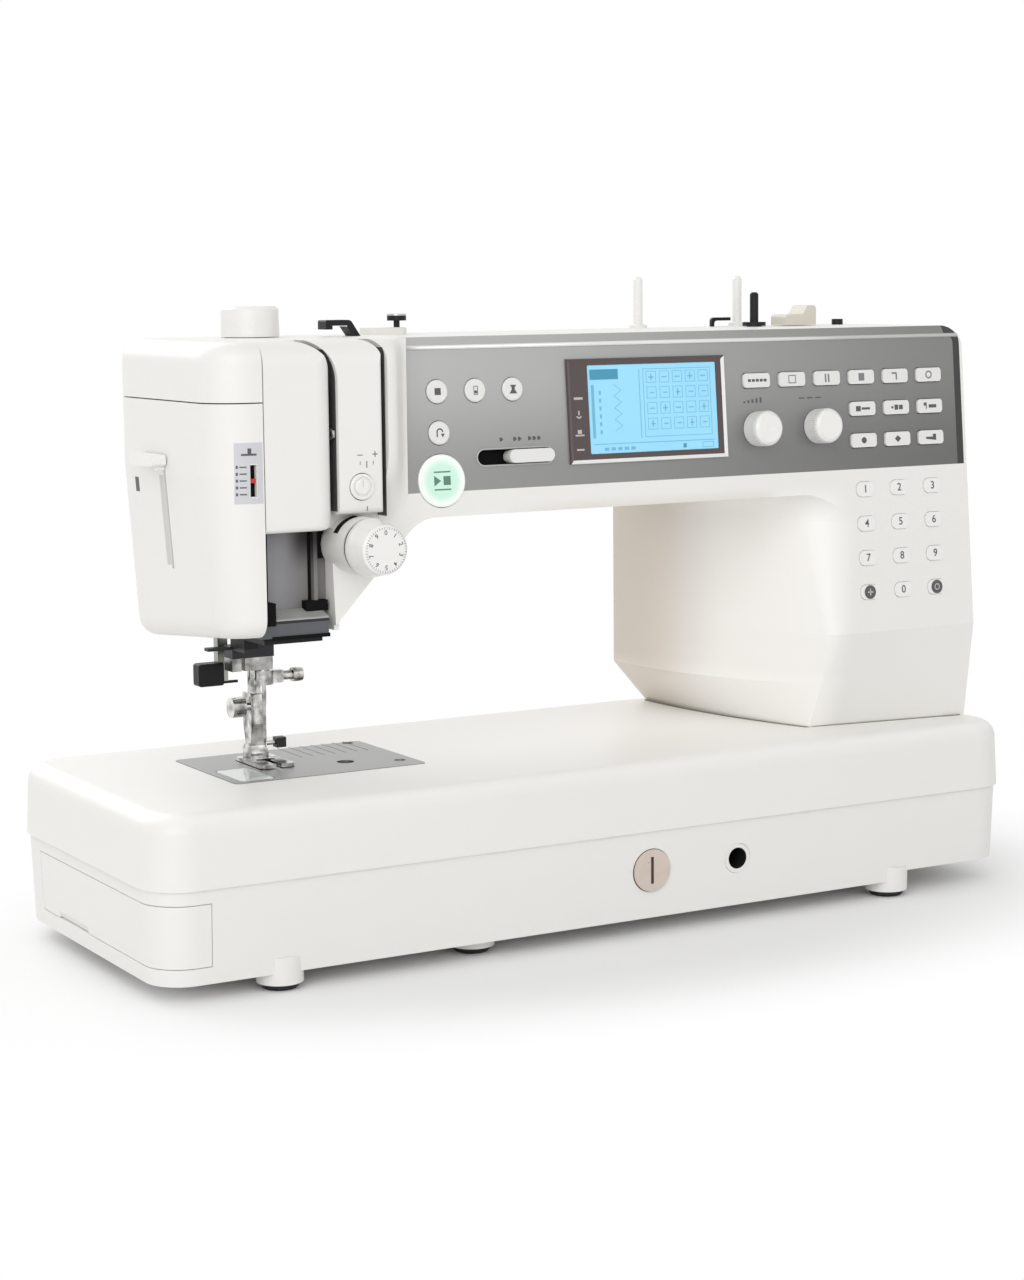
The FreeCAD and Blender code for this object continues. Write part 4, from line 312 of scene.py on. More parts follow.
finishes = {
    "housing": surface("warm_white_moulding", **mouldSet),
    # front and rear housings: the moulding with painted light and shade
    "throat": surface("warm_white_throat_painted_shading", paintedShading=throatPaintedShading, **mouldSet),
    # bed cover: the moulding with its top lighter, painted light
    "bed": surface("warm_white_bed_painted_light", paintedShading=(bedTopPaintedLight,), **mouldSet),
    "seam": surface("seam_shadow", (0.22, 0.21, 0.175), 0.6, grain=1200, depth=0.04, tint=0.1),
    "trim": surface("smooth_white_moulding", (0.82, 0.812, 0.788), 0.28, grain=500, depth=0.015, tint=0.012),
    "keyTop": surface("white_key_moulding", (0.75, 0.745, 0.72), 0.30, grain=900, depth=0.02, tint=0.015),
    "panel": surface("silver_grey_paint_with_painted_shade", (0.45, 0.45, 0.44), 0.38, grain=2600, depth=0.04, metal=0.35,
                     tint=0.04, zones=panelZones, fade=panelPaintedShadeRight, shade=panelShade),
    "lip": surface("dull_silver_lip", (0.42, 0.42, 0.41), 0.3, grain=600, depth=0.01, metal=0.3),
    "channel": surface("shaded_channel", (0.58, 0.57, 0.55), 0.5, grain=1200, depth=0.04, tint=0.03),
    # Light silver standing in for light caught on an edge: a painted highlight
    "paintedHighlight": surface("painted_highlight_silver", (0.74, 0.74, 0.72), 0.22, grain=600, depth=0.01, metal=0.3),
    "bezel": surface("dark_bezel_gloss", (0.060, 0.040, 0.038), 0.16, grain=500, depth=0.01, tint=0.1,
                     coat=0.4),
    "black": surface("satin_black_moulding", rough=0.40, depth=0.06, tint=0.1, **blackSet),
    "groove": surface("groove_shadow_grey", (0.075, 0.07, 0.067), 0.6, grain=1200, depth=0.05, tint=0.2),
    # Near black standing in for shade in slots, gaps and the head's recess: painted shade
    "blackShade": surface("black_painted_shade", (0.006, 0.006, 0.006), 0.7, grain=1200, depth=0.05, tint=0.1, shine=0.1),
    "guard": surface("grey_violet_moulding_painted_light", (0.315, 0.31, 0.33), 0.42, grain=1200, depth=0.05, tint=0.04,
                     cloud=120, crisp=0.13, zones=guardZones, paintedShading=guardPaintedShade, shine=0.25),
    "rubber": surface("foot_rubber", (0.012, 0.012, 0.012), 0.75, grain=700, depth=0.25, tint=0.2),
    "steel": surface("ground_plate_steel", (0.335, 0.335, 0.325), 0.38, grain=260, depth=0.05, metal=1.0,
                     tint=0.09, cloud=90, stretch=(1, 14, 14)),
    # hard light and dark patches on the plating are painted reflections
    "chrome": surface("plating_with_painted_reflections", rough=0.16, tint=0.5, cloud=170, **chromeAndReflectionSet),
    "foot": surface("plating_with_painted_reflections_foot", rough=0.17, tint=0.55, cloud=150, zones=footZones, **chromeAndReflectionSet),
    "warmMetal": surface("warm_turned_plating", (0.64, 0.55, 0.49), 0.30, grain=500, depth=0.03, metal=0.6,
                         tint=0.1, cloud=120, zones=feedZones),
    "clear": surface("milky_window", (0.62, 0.66, 0.64), 0.12, grain=300, depth=0.01, coat=0.5),
    "alloy": surface("cast_alloy", (0.55, 0.56, 0.57), 0.5, grain=320, depth=0.35, metal=1.0, tint=0.08),
    "motor": surface("satin_black_paint", (0.02, 0.02, 0.022), 0.36, grain=900, depth=0.05),
    "cream": surface("cream_moulding", (0.66, 0.625, 0.545), 0.38, grain=1200, depth=0.05),
    "red": surface("red_marker", (0.55, 0.02, 0.02), 0.35, grain=900, depth=0.02),
    "guides": surface("black_guides", rough=0.38, depth=0.04, zones=guideZones, **blackSet),
    "lever": surface("black_lever", rough=0.40, depth=0.05, zones=leverZones, **blackSet),
    "socket": surface("black_socket", (0.016, 0.016, 0.017), 0.45, grain=1000, depth=0.05, zones=socketZones),
    "mark": surface("grey_print", (0.085, 0.085, 0.09), 0.5, grain=1500, depth=0.02),
    "softMark": surface("pale_grey_print", (0.20, 0.20, 0.21), 0.5, grain=1500, depth=0.02),
    "greenMark": surface("green_print", (0.10, 0.23, 0.17), 0.5, grain=1500, depth=0.02),
    "iconMark": surface("bezel_print", (0.50, 0.46, 0.45), 0.5, grain=1500, depth=0.02),
    "screenInk": surface("screen_ink", (0.17, 0.46, 0.66), 0.4, grain=1500, depth=0.02),
    "screenTab": surface("screen_tab", (0.06, 0.30, 0.45), 0.4, grain=1500, depth=0.02),
    "label": surface("gauge_print_ground", (0.58, 0.58, 0.605), 0.35, grain=800, depth=0.02),
}


def glowing(tree, shader, tone, roughness, strength):
    for label, value in (("Base Color", tone), ("Emission Color", tone), ("Roughness", roughness)):
        tree.links.new(value, shader.inputs[label])
    shader.inputs["Emission Strength"].default_value = strength


screenGlow = {"dim": (0.24, 0.56, 0.76), "bright": (0.31, 0.64, 0.83), "row": (0.27, 0.60, 0.80), "rows": 900,
              "glow": 0.22}


# Lit screen: pixel rows over a slow drift of brightness
def screenMaterial(s):
    material, tree, shader, coords = newMaterial("lit_screen")
    rows = tree.nodes.new("ShaderNodeTexWave")
    rows.bands_direction = "Z"
    rows.inputs["Scale"].default_value = s["rows"]
    rows.inputs["Distortion"].default_value = 0
    tree.links.new(coords, rows.inputs["Vector"])
    broad, roughness = grained(tree, shader, coords, rough=0.12, grain=900, depth=0.01, drift=0.04, cloud=25)
    tone = mixed(tree, "RGBA", broad, s["dim"], s["bright"])
    lit = mixed(tree, "RGBA", rows.outputs["Fac"], tone, s["row"])
    glowing(tree, shader, lit, roughness, s["glow"])
    return material


startGlow = {"centre": (-85.2, 236.7), "inner": 7.5, "outer": 11.8, "dim": (0.53, 0.79, 0.64),
             "bright": (0.57, 0.81, 0.68), "rim": (0.82, 0.86, 0.82), "glow": 0.12}


# Round button lit from behind: green in the middle, white at the rim
def startMaterial(s):
    material, tree, shader, coords = newMaterial("lit_start_button")
    broad, roughness = grained(tree, shader, coords, rough=0.22, grain=900, depth=0.02, drift=0.06, cloud=60)
    x, z = s["centre"]
    distance = tree.nodes.new("ShaderNodeVectorMath")
    distance.operation = "DISTANCE"
    distance.inputs[1].default_value = at(x, faceY(z), z)
    tree.links.new(coords, distance.inputs[0])
    fade = ranged(tree, distance.outputs["Value"], s["inner"] * mm, s["outer"] * mm, eased=True)
    glow = mixed(tree, "RGBA", broad, s["dim"], s["bright"])
    tone = mixed(tree, "RGBA", fade, glow, s["rim"])
    glowing(tree, shader, tone, roughness, s["glow"])
    return material


finishes["screen"] = screenMaterial(screenGlow)
finishes["start"] = startMaterial(startGlow)
nodeFinish = {
    "front_housing": "throat", "rear_housing": "throat", "bed_cover": "bed", "feet": "rubber",
    "control_panel": "panel", "display": "bezel", "head_guard": "guard", "needle_plate": "steel",
    "feed_dog": "steel", "rotary_hook": "steel", "upper_shaft": "steel", "needle_bar": "chrome",
    "presser_bar": "foot",
    "take_up_lever": "chrome", "bobbin_cover": "clear", "bobbin": "clear", "buttonhole_lever": "lever",
    "lifter_lever": "black", "sockets": "socket", "power_switch": "black", "winder_spindle": "black",
    "thread_guides": "guides", "feed_dial": "warmMetal", "motor": "motor", "arm_frame": "alloy",
    "bobbin_stopper": "cream", "pressure_marker": "red", "start_button": "start",
}
trimNodes = ("tension_dial", "balance_dial", "pressure_dial", "threader_lever", "hand_wheel", "spool_pins",
             "width_dial", "length_dial", "number_pad")
for name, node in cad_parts.items():
    kind = "trim" if name in trimNodes else "housing"
    if "key" in name or "button" in name or name == "speed_slider":
        kind = "keyTop"
    node.data.materials.clear()
    node.data.materials.append(finishes[nodeFinish.get(name, kind)])
print("finishes given to the CAD pieces")


# A finished mesh put on the body that it rides
def placePiece(name, mesh, material, body):
    mesh.materials.append(material)
    piece = linked(name, mesh)
    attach(piece, body)


# One finished piece from a bmesh
def addPiece(name, bm, finishName, body="machine", smooth=False):
    mesh = bpy.data.meshes.new(name)
    bmesh.ops.recalc_face_normals(bm, faces=bm.faces)
    bm.to_mesh(mesh)
    bm.free()
    for polygon in mesh.polygons:
        polygon.use_smooth = smooth
    placePiece(name, mesh, finishes[finishName], body)


# Walls between rows of points, closed at both ends
def joinRows(bm, rows):
    for a, b in zip(rows, rows[1:]):
        for i in range(len(a)):
            j = (i + 1) % len(a)
            bm.faces.new((a[i], a[j], b[j], b[i]))
    bm.faces.new(rows[0][::-1])
    bm.faces.new(rows[-1])


# Upright sided plate from a flat outline in millimetres
def addPrism(bm, points, place, height, foot=-sunk):
    rows = [[Vector((x, y, z)) * mm for x, y in points] for z in (foot, height)]
    joinRows(bm, [[bm.verts.new(place @ point) for point in row] for row in rows])


def rect(x0, x1, y0, y1):
    return [(x0, y0), (x1, y0), (x1, y1), (x0, y1)]


def disc(radius, x=0.0, y=0.0, count=28):
    angles = [math.tau * i / count for i in range(count)]
    return [(x + radius * math.cos(a), y + radius * math.sin(a)) for a in angles]


def band(inner, outer, start, end, x=0.0, y=0.0, count=20):
    angles = [math.radians(start + (end - start) * i / count) for i in range(count + 1)]
    outside = [(x + outer * math.cos(a), y + outer * math.sin(a)) for a in angles]
    return outside + [(x + inner * math.cos(a), y + inner * math.sin(a)) for a in reversed(angles)]


def hoop(inner, outer, x=0.0, y=0.0):
    return [band(inner, outer, 0, 180, x, y), band(inner, outer, 180, 360, x, y)]


def frameOf(x0, x1, y0, y1, width):
    low, high = y0 + width, y1 - width
    return [rect(x0, x1, y0, low), rect(x0, x1, high, y1), rect(x0, x0 + width, low, high),
            rect(x1 - width, x1, low, high)]


# Printed figures, made a mesh before they are put in place
def addFigure(bm, words, place, s):
    curve = bpy.data.curves.new("figure", "FONT")
    curve.body = words
    curve.size, curve.extrude, curve.offset = (s[key] * mm for key in ("size", "height", "weight"))
    curve.align_x = "CENTER"
    curve.align_y = "CENTER"
    holder = linked("figure", curve)
    mesh = plainMesh(holder)
    mesh.transform(place)
    bm.from_mesh(mesh)
    bpy.data.objects.remove(holder)
    bpy.data.curves.remove(curve)
    bpy.data.meshes.remove(mesh)


# Section in millimetres (along the seat's Y and Z) drawn out along its X
def addBar(bm, section, place, x0, x1):
    rows = [[Vector((x, y, z)) * mm for y, z in section] for x in (x0, x1)]
    joinRows(bm, [[bm.verts.new(place @ point) for point in row] for row in rows])


# Control panel: painted highlight along its bend, frame of the screen with painted light and shade, screen
# and prints
panelSet = {"left": -103.6, "right": 241.4, "bendY": -57.3, "bendZ": 302.0, "edge": 1.25, "from": -20,
            "sweep": 165, "steps": 10, "inset": 0.3, "drop": 0.55}


def addPanelEdge(s):
    bm = bmesh.new()
    place = seat(at(0, s["bendY"], s["bendZ"]), alongX, faceUp)
    section = []
    for i in range(s["steps"] + 1):
        angle = math.radians(s["from"] + s["sweep"] * i / s["steps"])
        section.append((s["edge"] * math.cos(angle) - s["inset"], s["edge"] * math.sin(angle) - s["drop"]))
    addBar(bm, section, place, s["left"], s["right"])
    # The bar's light silver is a painted highlight along the bend
    addPiece("panel_edge_highlight", bm, "paintedHighlight", smooth=True)


displaySet = {"left": -10.7, "right": 85.0, "low": 241.6, "high": 294.0, "over": 0.25, "rim": 1.7,
              "proud": 1.5, "edge": 0.3, "crest": (0.1, 0.25), "inner": 0.82, "floor": 0.6,
              # lower and right sides: painted highlight; upper and left sides: painted shade
              "sides": {"display_rim_painted_highlight": ((0, 1), "paintedHighlight"), "display_rim_painted_shade": ((2, 3), "bezel")}}


# Sloped rim round the screen's bezel; its sides are mitred. The lower and right sides carry a painted
# highlight, the upper and left sides painted shade in the bezel's dark colour
def addDisplayRim(s):
    corners, inside = (rect(s["left"] - grow, s["right"] + grow, s["low"] - grow, s["high"] + grow)
                       for grow in (s["over"], -s["rim"]))
    for name, (sides, finishName) in s["sides"].items():
        bm = bmesh.new()
        for i in sides:
            ends = []
            for k in (i, (i + 1) % 4):
                (ox, oz), (ix, iz) = corners[k], inside[k]
                ring = [(ox, oz, sunk), (ox, oz, s["proud"] - s["edge"])]
                ring += [(ox + (ix - ox) * t, oz + (iz - oz) * t, s["proud"]) for t in s["crest"]]
                ring += [(ix, iz, s["inner"]), (ix, iz, s["floor"])]
                ends.append([bm.verts.new(panelSeat(x, z, out).translation) for x, z, out in ring])
            joinRows(bm, ends)
        addPiece(name, bm, finishName)


screenSet = {"left": 1.5, "right": 80.0, "low": 246.0, "high": 291.0, "middle": 268, "gap": 0.1,
             "depth": 0.42, "ink": (-0.02, 0.06), "tab": (-0.02, 0.05), "iconX": -4.6, "iconOut": 0.8,
             "iconHeight": 0.06}


def addScreen(s):
    bm = bmesh.new()
    place = panelSeat(0, s["middle"])
    low, high = ((s[key] - s["middle"]) / math.cos(lean) for key in ("low", "high"))
    gap = s["gap"]
    addPrism(bm, rect(s["left"] + gap, s["right"] - gap, low + gap, high - gap), place, s["depth"], gap)
    addPiece("lit_screen", bm, "screen")
    ink = bmesh.new()
    lines = [rect(32.5, 32.9, -15, 20), rect(3.5, 78, -17.4, -17), rect(3.5, 5.2, -14, 13)] # dividers
    lines += frameOf(35, 76.5, -14.5, 20.5, 0.3)
    for row in range(4):
        for column in range(5):
            x, z = 37 + 8 * column, 13.2 - 8 * row
            lines += frameOf(x, x + 6, z, z + 6, 0.28)
            lines.append(rect(x + 1.4 + 0.5 * (row % 2), x + 4.6, z + 2.6, z + 3.2))
            if (row + column) % 3 == 0:
                lines.append(rect(x + 2.7, x + 3.3, z + 1.2, z + 4.8))
    for i in range(8): # zigzag stitch sample
        z = -11 + 3 * i
        side = 2.2 if i % 2 else -2.2
        lines.append([(19 + side, z), (19 + side + 0.5, z), (19 - side + 0.5, z + 3), (19 - side, z + 3)])
    lines += [rect(8, 9.2, -12 + 4 * i, -10 + 4 * i) for i in range(6)]
    lines += [rect(10 + 4 * i, 12.6 + 4 * i, -20.6, -19) for i in range(5)]
    lines += frameOf(70, 77, -21, -18.2, 0.3)
    foot, top = (s["depth"] + step for step in s["ink"])
    for points in lines:
        addPrism(ink, points, place, top, foot)
    addPiece("screen_graphics", ink, "screenInk")
    tab = bmesh.new()
    foot, top = (s["depth"] + step for step in s["tab"])
    for points in (rect(3, 20, 15.6, 20.8), rect(58, 60, -20.8, -18.6)):
        addPrism(tab, points, place, top, foot)
    addPiece("screen_tab", tab, "screenTab")
    icons = bmesh.new()
    signs = ((274.5, [rect(-2.6, 2.6, -0.7, 0.5)]),
             (266.0, [band(1.0, 1.7, 200, 340), rect(-0.4, 0.4, 0, 2.2)]),
             (257.0, [rect(-2.6, 2.6, -1.6, -0.8), rect(-1.2, 1.2, -0.4, 1.6)]),
             (248.6, [rect(-2.2, 2.2, -0.5, 0.4)]))
    for z, shapes in signs:
        for points in shapes:
            addPrism(icons, points, panelSeat(s["iconX"], z, s["iconOut"]), s["iconHeight"])
    addPiece("bezel_icons", icons, "iconMark")


addPanelEdge(panelSet)
addDisplayRim(displaySet)
addScreen(screenSet)
print("panel edge and screen made")

# Marks on buttons and keys: plain shapes, each riding on its own button
glyphs = {
    "block": [rect(-1.7, 1.7, -1.7, 1.7)],
    "rise": frameOf(-1.2, 1.2, -2.2, 2.2, 0.35) + [disc(0.8, 0, -0.8, 14)],
    "spool": [[(-2.2, -2.2), (2.2, -2.2), (1.2, -0.6), (-1.2, -0.6)], rect(-0.9, 0.9, -0.6, 1.2),
              rect(-1.5, 1.5, 1.2, 2.1)],
    "turn": [band(1.2, 1.9, 0, 180, 0, 0.4), rect(-1.9, -1.2, -2.0, 0.4),
             [(0.5, -0.4), (2.6, -0.4), (1.55, -2.3)]],
    "lines": [rect(-5.6 + 2.5 * i, -3.7 + 2.5 * i, -0.7, 0.7) for i in range(5)],
    "window": frameOf(-2.4, 2.4, -2.2, 2.2, 0.5),
    "column": [rect(-1.5, -0.5, -2.2, 2.2), rect(0.5, 1.5, -2.2, 2.2)],
    "tile": [rect(-1.9, 1.9, -2.0, 2.0)],
    "hook": [rect(-2.4, 1.0, 1.0, 1.9), rect(0.2, 1.2, -2.2, 1.0)],
    "ring": hoop(1.4, 2.2),
    "longBar": [rect(-4.6, -1.4, -1.4, 1.4), rect(-0.8, 4.8, -0.6, 0.6)],
    "pair": [rect(-3.6, -2.2, -0.6, 0.6), rect(-1.4, 1.0, -1.4, 1.4), rect(1.6, 4.2, -1.2, 1.2)],
    "flag": [rect(-4.2, -2.8, 0.2, 1.9), rect(-2.8, -2.2, -1.6, 1.9), rect(-0.8, 4.4, -1.0, 0.8)],
    "dot": [disc(1.7, 0, 0, 18)],
    "diamond": [[(-2.1, 0), (0, -1.9), (2.1, 0), (0, 1.9)]],
    "wedge": [[(-3.6, -0.9), (3.4, -1.7), (3.4, 1.7), (1.2, 1.7), (1.2, 0.2), (-3.6, 0.2)]],
    "start": [[(-4.6, -2.6), (-0.8, 0.0), (-4.6, 2.6)], rect(0.6, 4.6, -2.2, 2.2), rect(-4.6, 4.6, 4.0, 4.7),
              rect(-4.6, 4.6, -4.7, -4.0)],
}
keyMarks = ("lines", "window", "column", "tile", "hook", "ring", "longBar", "pair", "flag", "dot", "diamond",
            "wedge")
buttonMarks = {"lock_button": ("block", -85.2, 280.3), "needle_button": ("rise", -63.8, 280.3),
               "cutter_button": ("spool", -42.4, 280.3), "reverse_button": ("turn", -85.2, 260.1)}
keyPlaces = [(105.5 + 22.9 * i, 280.5) for i in range(6)]
keyPlaces += [(174.2 + 22.9 * i, 263.5 - 17 * j) for j in range(2) for i in range(3)]


markSet = {"out": 1.2, "height": 0.06}


def addGlyph(name, kind, x, z, body, finishName):
    bm = bmesh.new()
    for points in glyphs[kind]:
        addPrism(bm, points, panelSeat(x, z, markSet["out"]), markSet["height"])
    addPiece(name, bm, finishName, body=body)


for body, (kind, x, z) in buttonMarks.items():
    addGlyph(body + "_mark", kind, x, z, body, "mark")
addGlyph("start_mark", "start", *startGlow["centre"], "start_button", "greenMark")
for i, (x, z) in enumerate(keyPlaces):
    body = "panel_key_%02d" % (i + 1)
    addGlyph(body + "_mark", keyMarks[i], x, z, body, "softMark" if 0 < i < 6 else "mark")
print("button and key marks made")

padSet = {"x": 174.2, "z": 220.2, "pitch": 22.9, "rowPitch": 18.5, "out": 0.5, "round": 3.7,
          "roundHeight": 0.3, "symbol": (0.2, 0.36), "figure": {"size": 5.8, "height": 0.05, "weight": 0.07}}


def addPadFigures(s):
    figures = bmesh.new()
    rounds = bmesh.new()
    symbols = bmesh.new()
    words = ("1", "2", "3", "4", "5", "6", "7", "8", "9", None, "0", None)
    for i, word in enumerate(words):
        place = panelSeat(s["x"] + s["pitch"] * (i % 3), s["z"] - s["rowPitch"] * (i // 3), s["out"])
        if word:
            addFigure(figures, word, place, s["figure"])
            continue
        addPrism(rounds, disc(s["round"]), place, s["roundHeight"])
        shapes = [rect(-1.8, 1.8, -0.4, 0.4), rect(-0.4, 0.4, -1.8, 1.8)] if i == 9 else hoop(1.2, 1.8)
        for points in shapes:
            addPrism(symbols, points, place, s["symbol"][1], s["symbol"][0])
    addPiece("pad_figures", figures, "mark")
    addPiece("pad_round_keys", rounds, "mark")
    addPiece("pad_symbols", symbols, "iconMark")


slotSet = {"left": -64.0, "right": -20.6, "z": 247.0, "half": 3.7, "floor": (-5.8, -5.3),
           "lip": ((0.05, -0.3), (0.05, 0.35), (0.5, 0.5), (0.95, 0.35), (0.95, -0.3))}


def stadium(left, right, half, count=10):
    angles = [math.pi * i / count for i in range(count + 1)]
    turn = [(right + half * math.sin(a), half * math.cos(a)) for a in angles]
    return turn + [(left - x + right, -y) for x, y in turn]


# Bright lip round the speed slot, with a near-black floor of painted shade behind it
def addSlotLip(s):
    bm = bmesh.new()
    place = panelSeat(0, s["z"])
    left, right = s["left"] + s["half"], s["right"] - s["half"]
    rings = []
    for grow, height in s["lip"]:
        points = stadium(left, right, s["half"] + grow)
        rings.append([bm.verts.new(place @ (Vector((x, y, height)) * mm)) for x, y in points])
    count = len(rings[0])
    for n in range(len(rings)):
        for i in range(count):
            j = (i + 1) % count
            m = (n + 1) % len(rings)
            bm.faces.new((rings[n][i], rings[n][j], rings[m][j], rings[m][i]))
    addPiece("speed_slot_lip", bm, "lip", smooth=True)
    # near-black floor behind the slot: painted shade
    floor = bmesh.new()
    addPrism(floor, rect(s["left"] - 2, s["right"] + 2, -5, 5), place, s["floor"][1], s["floor"][0])
    addPiece("speed_slot_shade_floor", floor, "blackShade")


printSet = {"height": 0.05, "speedZ": 255.6, "speed": ((-49.7, 1), (-40.5, 2), (-30.6, 3)), "arrowPitch": 2.7,
            "widthZ": 270.0, "lengthZ": 270.4}


def addPanelPrints(s):
    bm = bmesh.new()
    for x, count in s["speed"]: # slow to fast
        for i in range(count):
            left = x + (i - count / 2) * s["arrowPitch"]
            tip = [(left, -1.0), (left + 1.1, -1.0), (left + 2.1, 0), (left + 1.1, 1.0), (left, 1.0)]
            addPrism(bm, tip, panelSeat(0, s["speedZ"]), s["height"])
    for i in range(5): # stitch width
        bar = rect(97.2 + 2.6 * i, 98.4 + 2.6 * i, -1.2, 0.45 * i - 0.2)
        addPrism(bm, bar, panelSeat(0, s["widthZ"]), s["height"])
    for i in range(3): # stitch length
        dash = rect(133.0 + 5.4 * i, 136.6 + 5.4 * i, -0.35, 0.35)
        addPrism(bm, dash, panelSeat(0, s["lengthZ"]), s["height"])
    addPiece("panel_prints", bm, "mark")


addPadFigures(padSet)
addSlotLip(slotSet)
addPanelPrints(printSet)
print("number pad, slot and panel prints made")

# Thread path: painted shade, as dark linings in the two grooves and behind the covers
grooveSet = {"front": -73.5, "back": -59.0, "lift": 0.02, "thick": 0.22, "top": 309.6, "steps": 12}


def addLining(name, path, s):
    bm = bmesh.new()
    rows = []
    near, deep = s["lift"], s["lift"] + s["thick"]
    section = ((near, s["front"]), (deep, s["front"]), (deep, s["back"]), (near, s["back"]))
    for (x, z), (nx, nz) in path:
        rows.append([bm.verts.new(at(x + nx * t, y, z + nz * t)) for t, y in section])
    joinRows(bm, rows)
    # the dark grey lining is painted shade inside the groove
    addPiece(name, bm, "groove")


# Up a straight wall and round a corner, with the normals; end is the corner's angle
def groovePath(s, wall, corner, low, end):
    path = [((wall, low), (-1, 0))]
    centre = (wall - corner, s["top"] - corner)
    for i in range(s["steps"] + 1):
        angle = math.radians(end * i / s["steps"])
        out = (math.cos(angle), math.sin(angle))
        path.append(((centre[0] + corner * out[0], centre[1] + corner * out[1]), (-out[0], -out[1])))
    return path


leftPath = groovePath(grooveSet, wall=-147.4, corner=22.6, low=225.5, end=44)
rightPath = groovePath(grooveSet, wall=-121.0, corner=11.6, low=222.0, end=26)
addLining("left_groove_shade", leftPath, grooveSet)
addLining("right_groove_shade", rightPath, grooveSet)

recessSet = {"plateY": -58.0, "gapY": -58.2, "collarY": -71.5, "blocks": (
    (rect(-186.4, -177.9, 168, 217), 0.5), # painted shadow in the gap beside the face cover
    (rect(-160.0, -148.4, 177.2, 182.2), 5.0), # stop block
    (rect(-156.6, -154.4, 182.2, 217), 0.6), # guide slit
    (rect(-186.6, -179.6, 172.4, 183.2), 12.8), # catch
    (rect(-181, -150.6, 165.2, 167.0), 11.6), # lower edge
)}
tensionSet = {"x": -135.5, "z": 208.5, "collar": -82.356, "face": -100.356, "figureRadius": 8.2,
              "figure": {"size": 3.2, "height": 0.05, "weight": 0.03}, "printY": -76.0, "printHeight": 0.05}


def addRecess(s, dial):
    dark = bmesh.new()
    for points, height in s["blocks"]:
        addPrism(dark, points, frontSeat(0, s["plateY"], 0), height)
    addPiece("recess_dark", dark, "blackShade")
    gap = bmesh.new()
    addPrism(gap, rect(-152.6, -147.4, 202, 226), frontSeat(0, s["gapY"], 0), 0.5) # painted shadow behind the collar
    collarSeat = frontSeat(dial["x"], s["collarY"], dial["z"])
    # painted shadow: a dark crescent in the gap on the collar
    addPrism(gap, band(14.0, 14.3, 96, 152), collarSeat, 2.6, -1.6)
    addPiece("tension_gap_shadow", gap, "blackShade")
    ring = bmesh.new()
    hub = frontSeat(dial["x"], dial["collar"], dial["z"])
    for points in hoop(12.2, 13.5):
        addPrism(ring, points, hub, 1.5, 0.36)
    addPiece("tension_shadow_ring", ring, "blackShade", body="tension_dial")


addRecess(recessSet, tensionSet)


def addDialFigures(dial):
    bm = bmesh.new()
    for i in range(10):
        angle = math.radians(90 - 36 * i)
        out = alongX * math.cos(angle) + alongZ * math.sin(angle)
        along = alongX * math.sin(angle) - alongZ * math.cos(angle)
        middle = at(dial["x"], dial["face"], dial["z"]) + out * dial["figureRadius"] * mm
        addFigure(bm, str(i), seat(middle, along, out), dial["figure"])
    addPiece("tension_figures", bm, "mark", body="tension_dial")
    prints = bmesh.new()
    shapes = [rect(-137.6, -134.8, 251.9, 252.4), rect(-129.6, -126.8, 252.1, 252.6),
              rect(-128.45, -127.95, 250.9, 253.8), rect(-133.0, -132.4, 246.0, 249.2),
              rect(-136.4, -136.0, 247.4, 249.2), rect(-129.4, -129.0, 247.4, 249.2),
              rect(-133.0, -132.5, 225.4, 227.6)]
    for points in shapes:
        addPrism(prints, points, frontSeat(0, dial["printY"], 0), dial["printHeight"])
    addPiece("strip_prints", prints, "softMark")


addDialFigures(tensionSet)
treeOf = {}


def surfaceTree(nodeName):
    if nodeName not in treeOf:
        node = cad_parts[nodeName]
        points = [node.matrix_world @ v.co for v in node.data.vertices]
        treeOf[nodeName] = BVHTree.FromPolygons(points, [list(p.vertices) for p in node.data.polygons])
    return treeOf[nodeName]


# Where a ray meets a CAD surface, with the normal that faces the ray
def meetSurface(nodeName, start, direction):
    hit, normal = surfaceTree(nodeName).ray_cast(start, direction)[:2]
    if hit and normal.dot(direction) > 0:
        normal = -normal
    return hit, normal


def surfaceSeat(nodeName, start, direction):
    hit, normal = meetSurface(nodeName, at(*start), direction)
    right = (alongX if abs(normal.z) > 0.9 else alongZ.cross(normal)).normalized()
    return seat(hit, right, normal.cross(right))


# Patch laid on a CAD surface: rays along one direction, lifted a little
def addPatch(name, nodeName, origin, across, up, steps, direction, lift, finishName, holes=(),
             body="machine"):
    bm = bmesh.new()
    columns, rows = steps
    grid = {}
    for i in range(columns + 1):
        for j in range(rows + 1):
            start = at(*origin) + Vector(across) * mm * (i / columns) + Vector(up) * mm * (j / rows)
            hit, normal = meetSurface(nodeName, start, direction)
            if hit:
                grid[i, j] = [bm.verts.new(hit + normal * out * mm) for out in (lift, -sunk)]
    rim = {}
    for i in range(columns):
        for j in range(rows):
            cell = [(i, j), (i + 1, j), (i + 1, j + 1), (i, j + 1)]
            middle = ((i + 0.5) / columns, (j + 0.5) / rows)
            inHole = any(h[0] < middle[0] < h[1] and h[2] < middle[1] < h[3] for h in holes)
            if inHole or not all(c in grid for c in cell):
                continue
            bm.faces.new([grid[c][0] for c in cell])
            bm.faces.new([grid[c][1] for c in reversed(cell)])
            for k in range(4):
                edge = (cell[k], cell[(k + 1) % 4])
                if edge[::-1] in rim:
                    del rim[edge[::-1]]
                else:
                    rim[edge] = True
    for a, b in rim:
        bm.faces.new((grid[a][0], grid[a][1], grid[b][1], grid[b][0]))
    bmesh.ops.delete(bm, geom=[v for v in bm.verts if not v.link_faces], context="VERTS")
    addPiece(name, bm, finishName, body)


gaugeSet = {"left": -201.6, "right": -188.1, "low": 231.8, "high": 260.4, "slot": (-194.5, -191.3),
            "slotZ": (235.0, 250.0), "start": -110, "lift": 0.12}


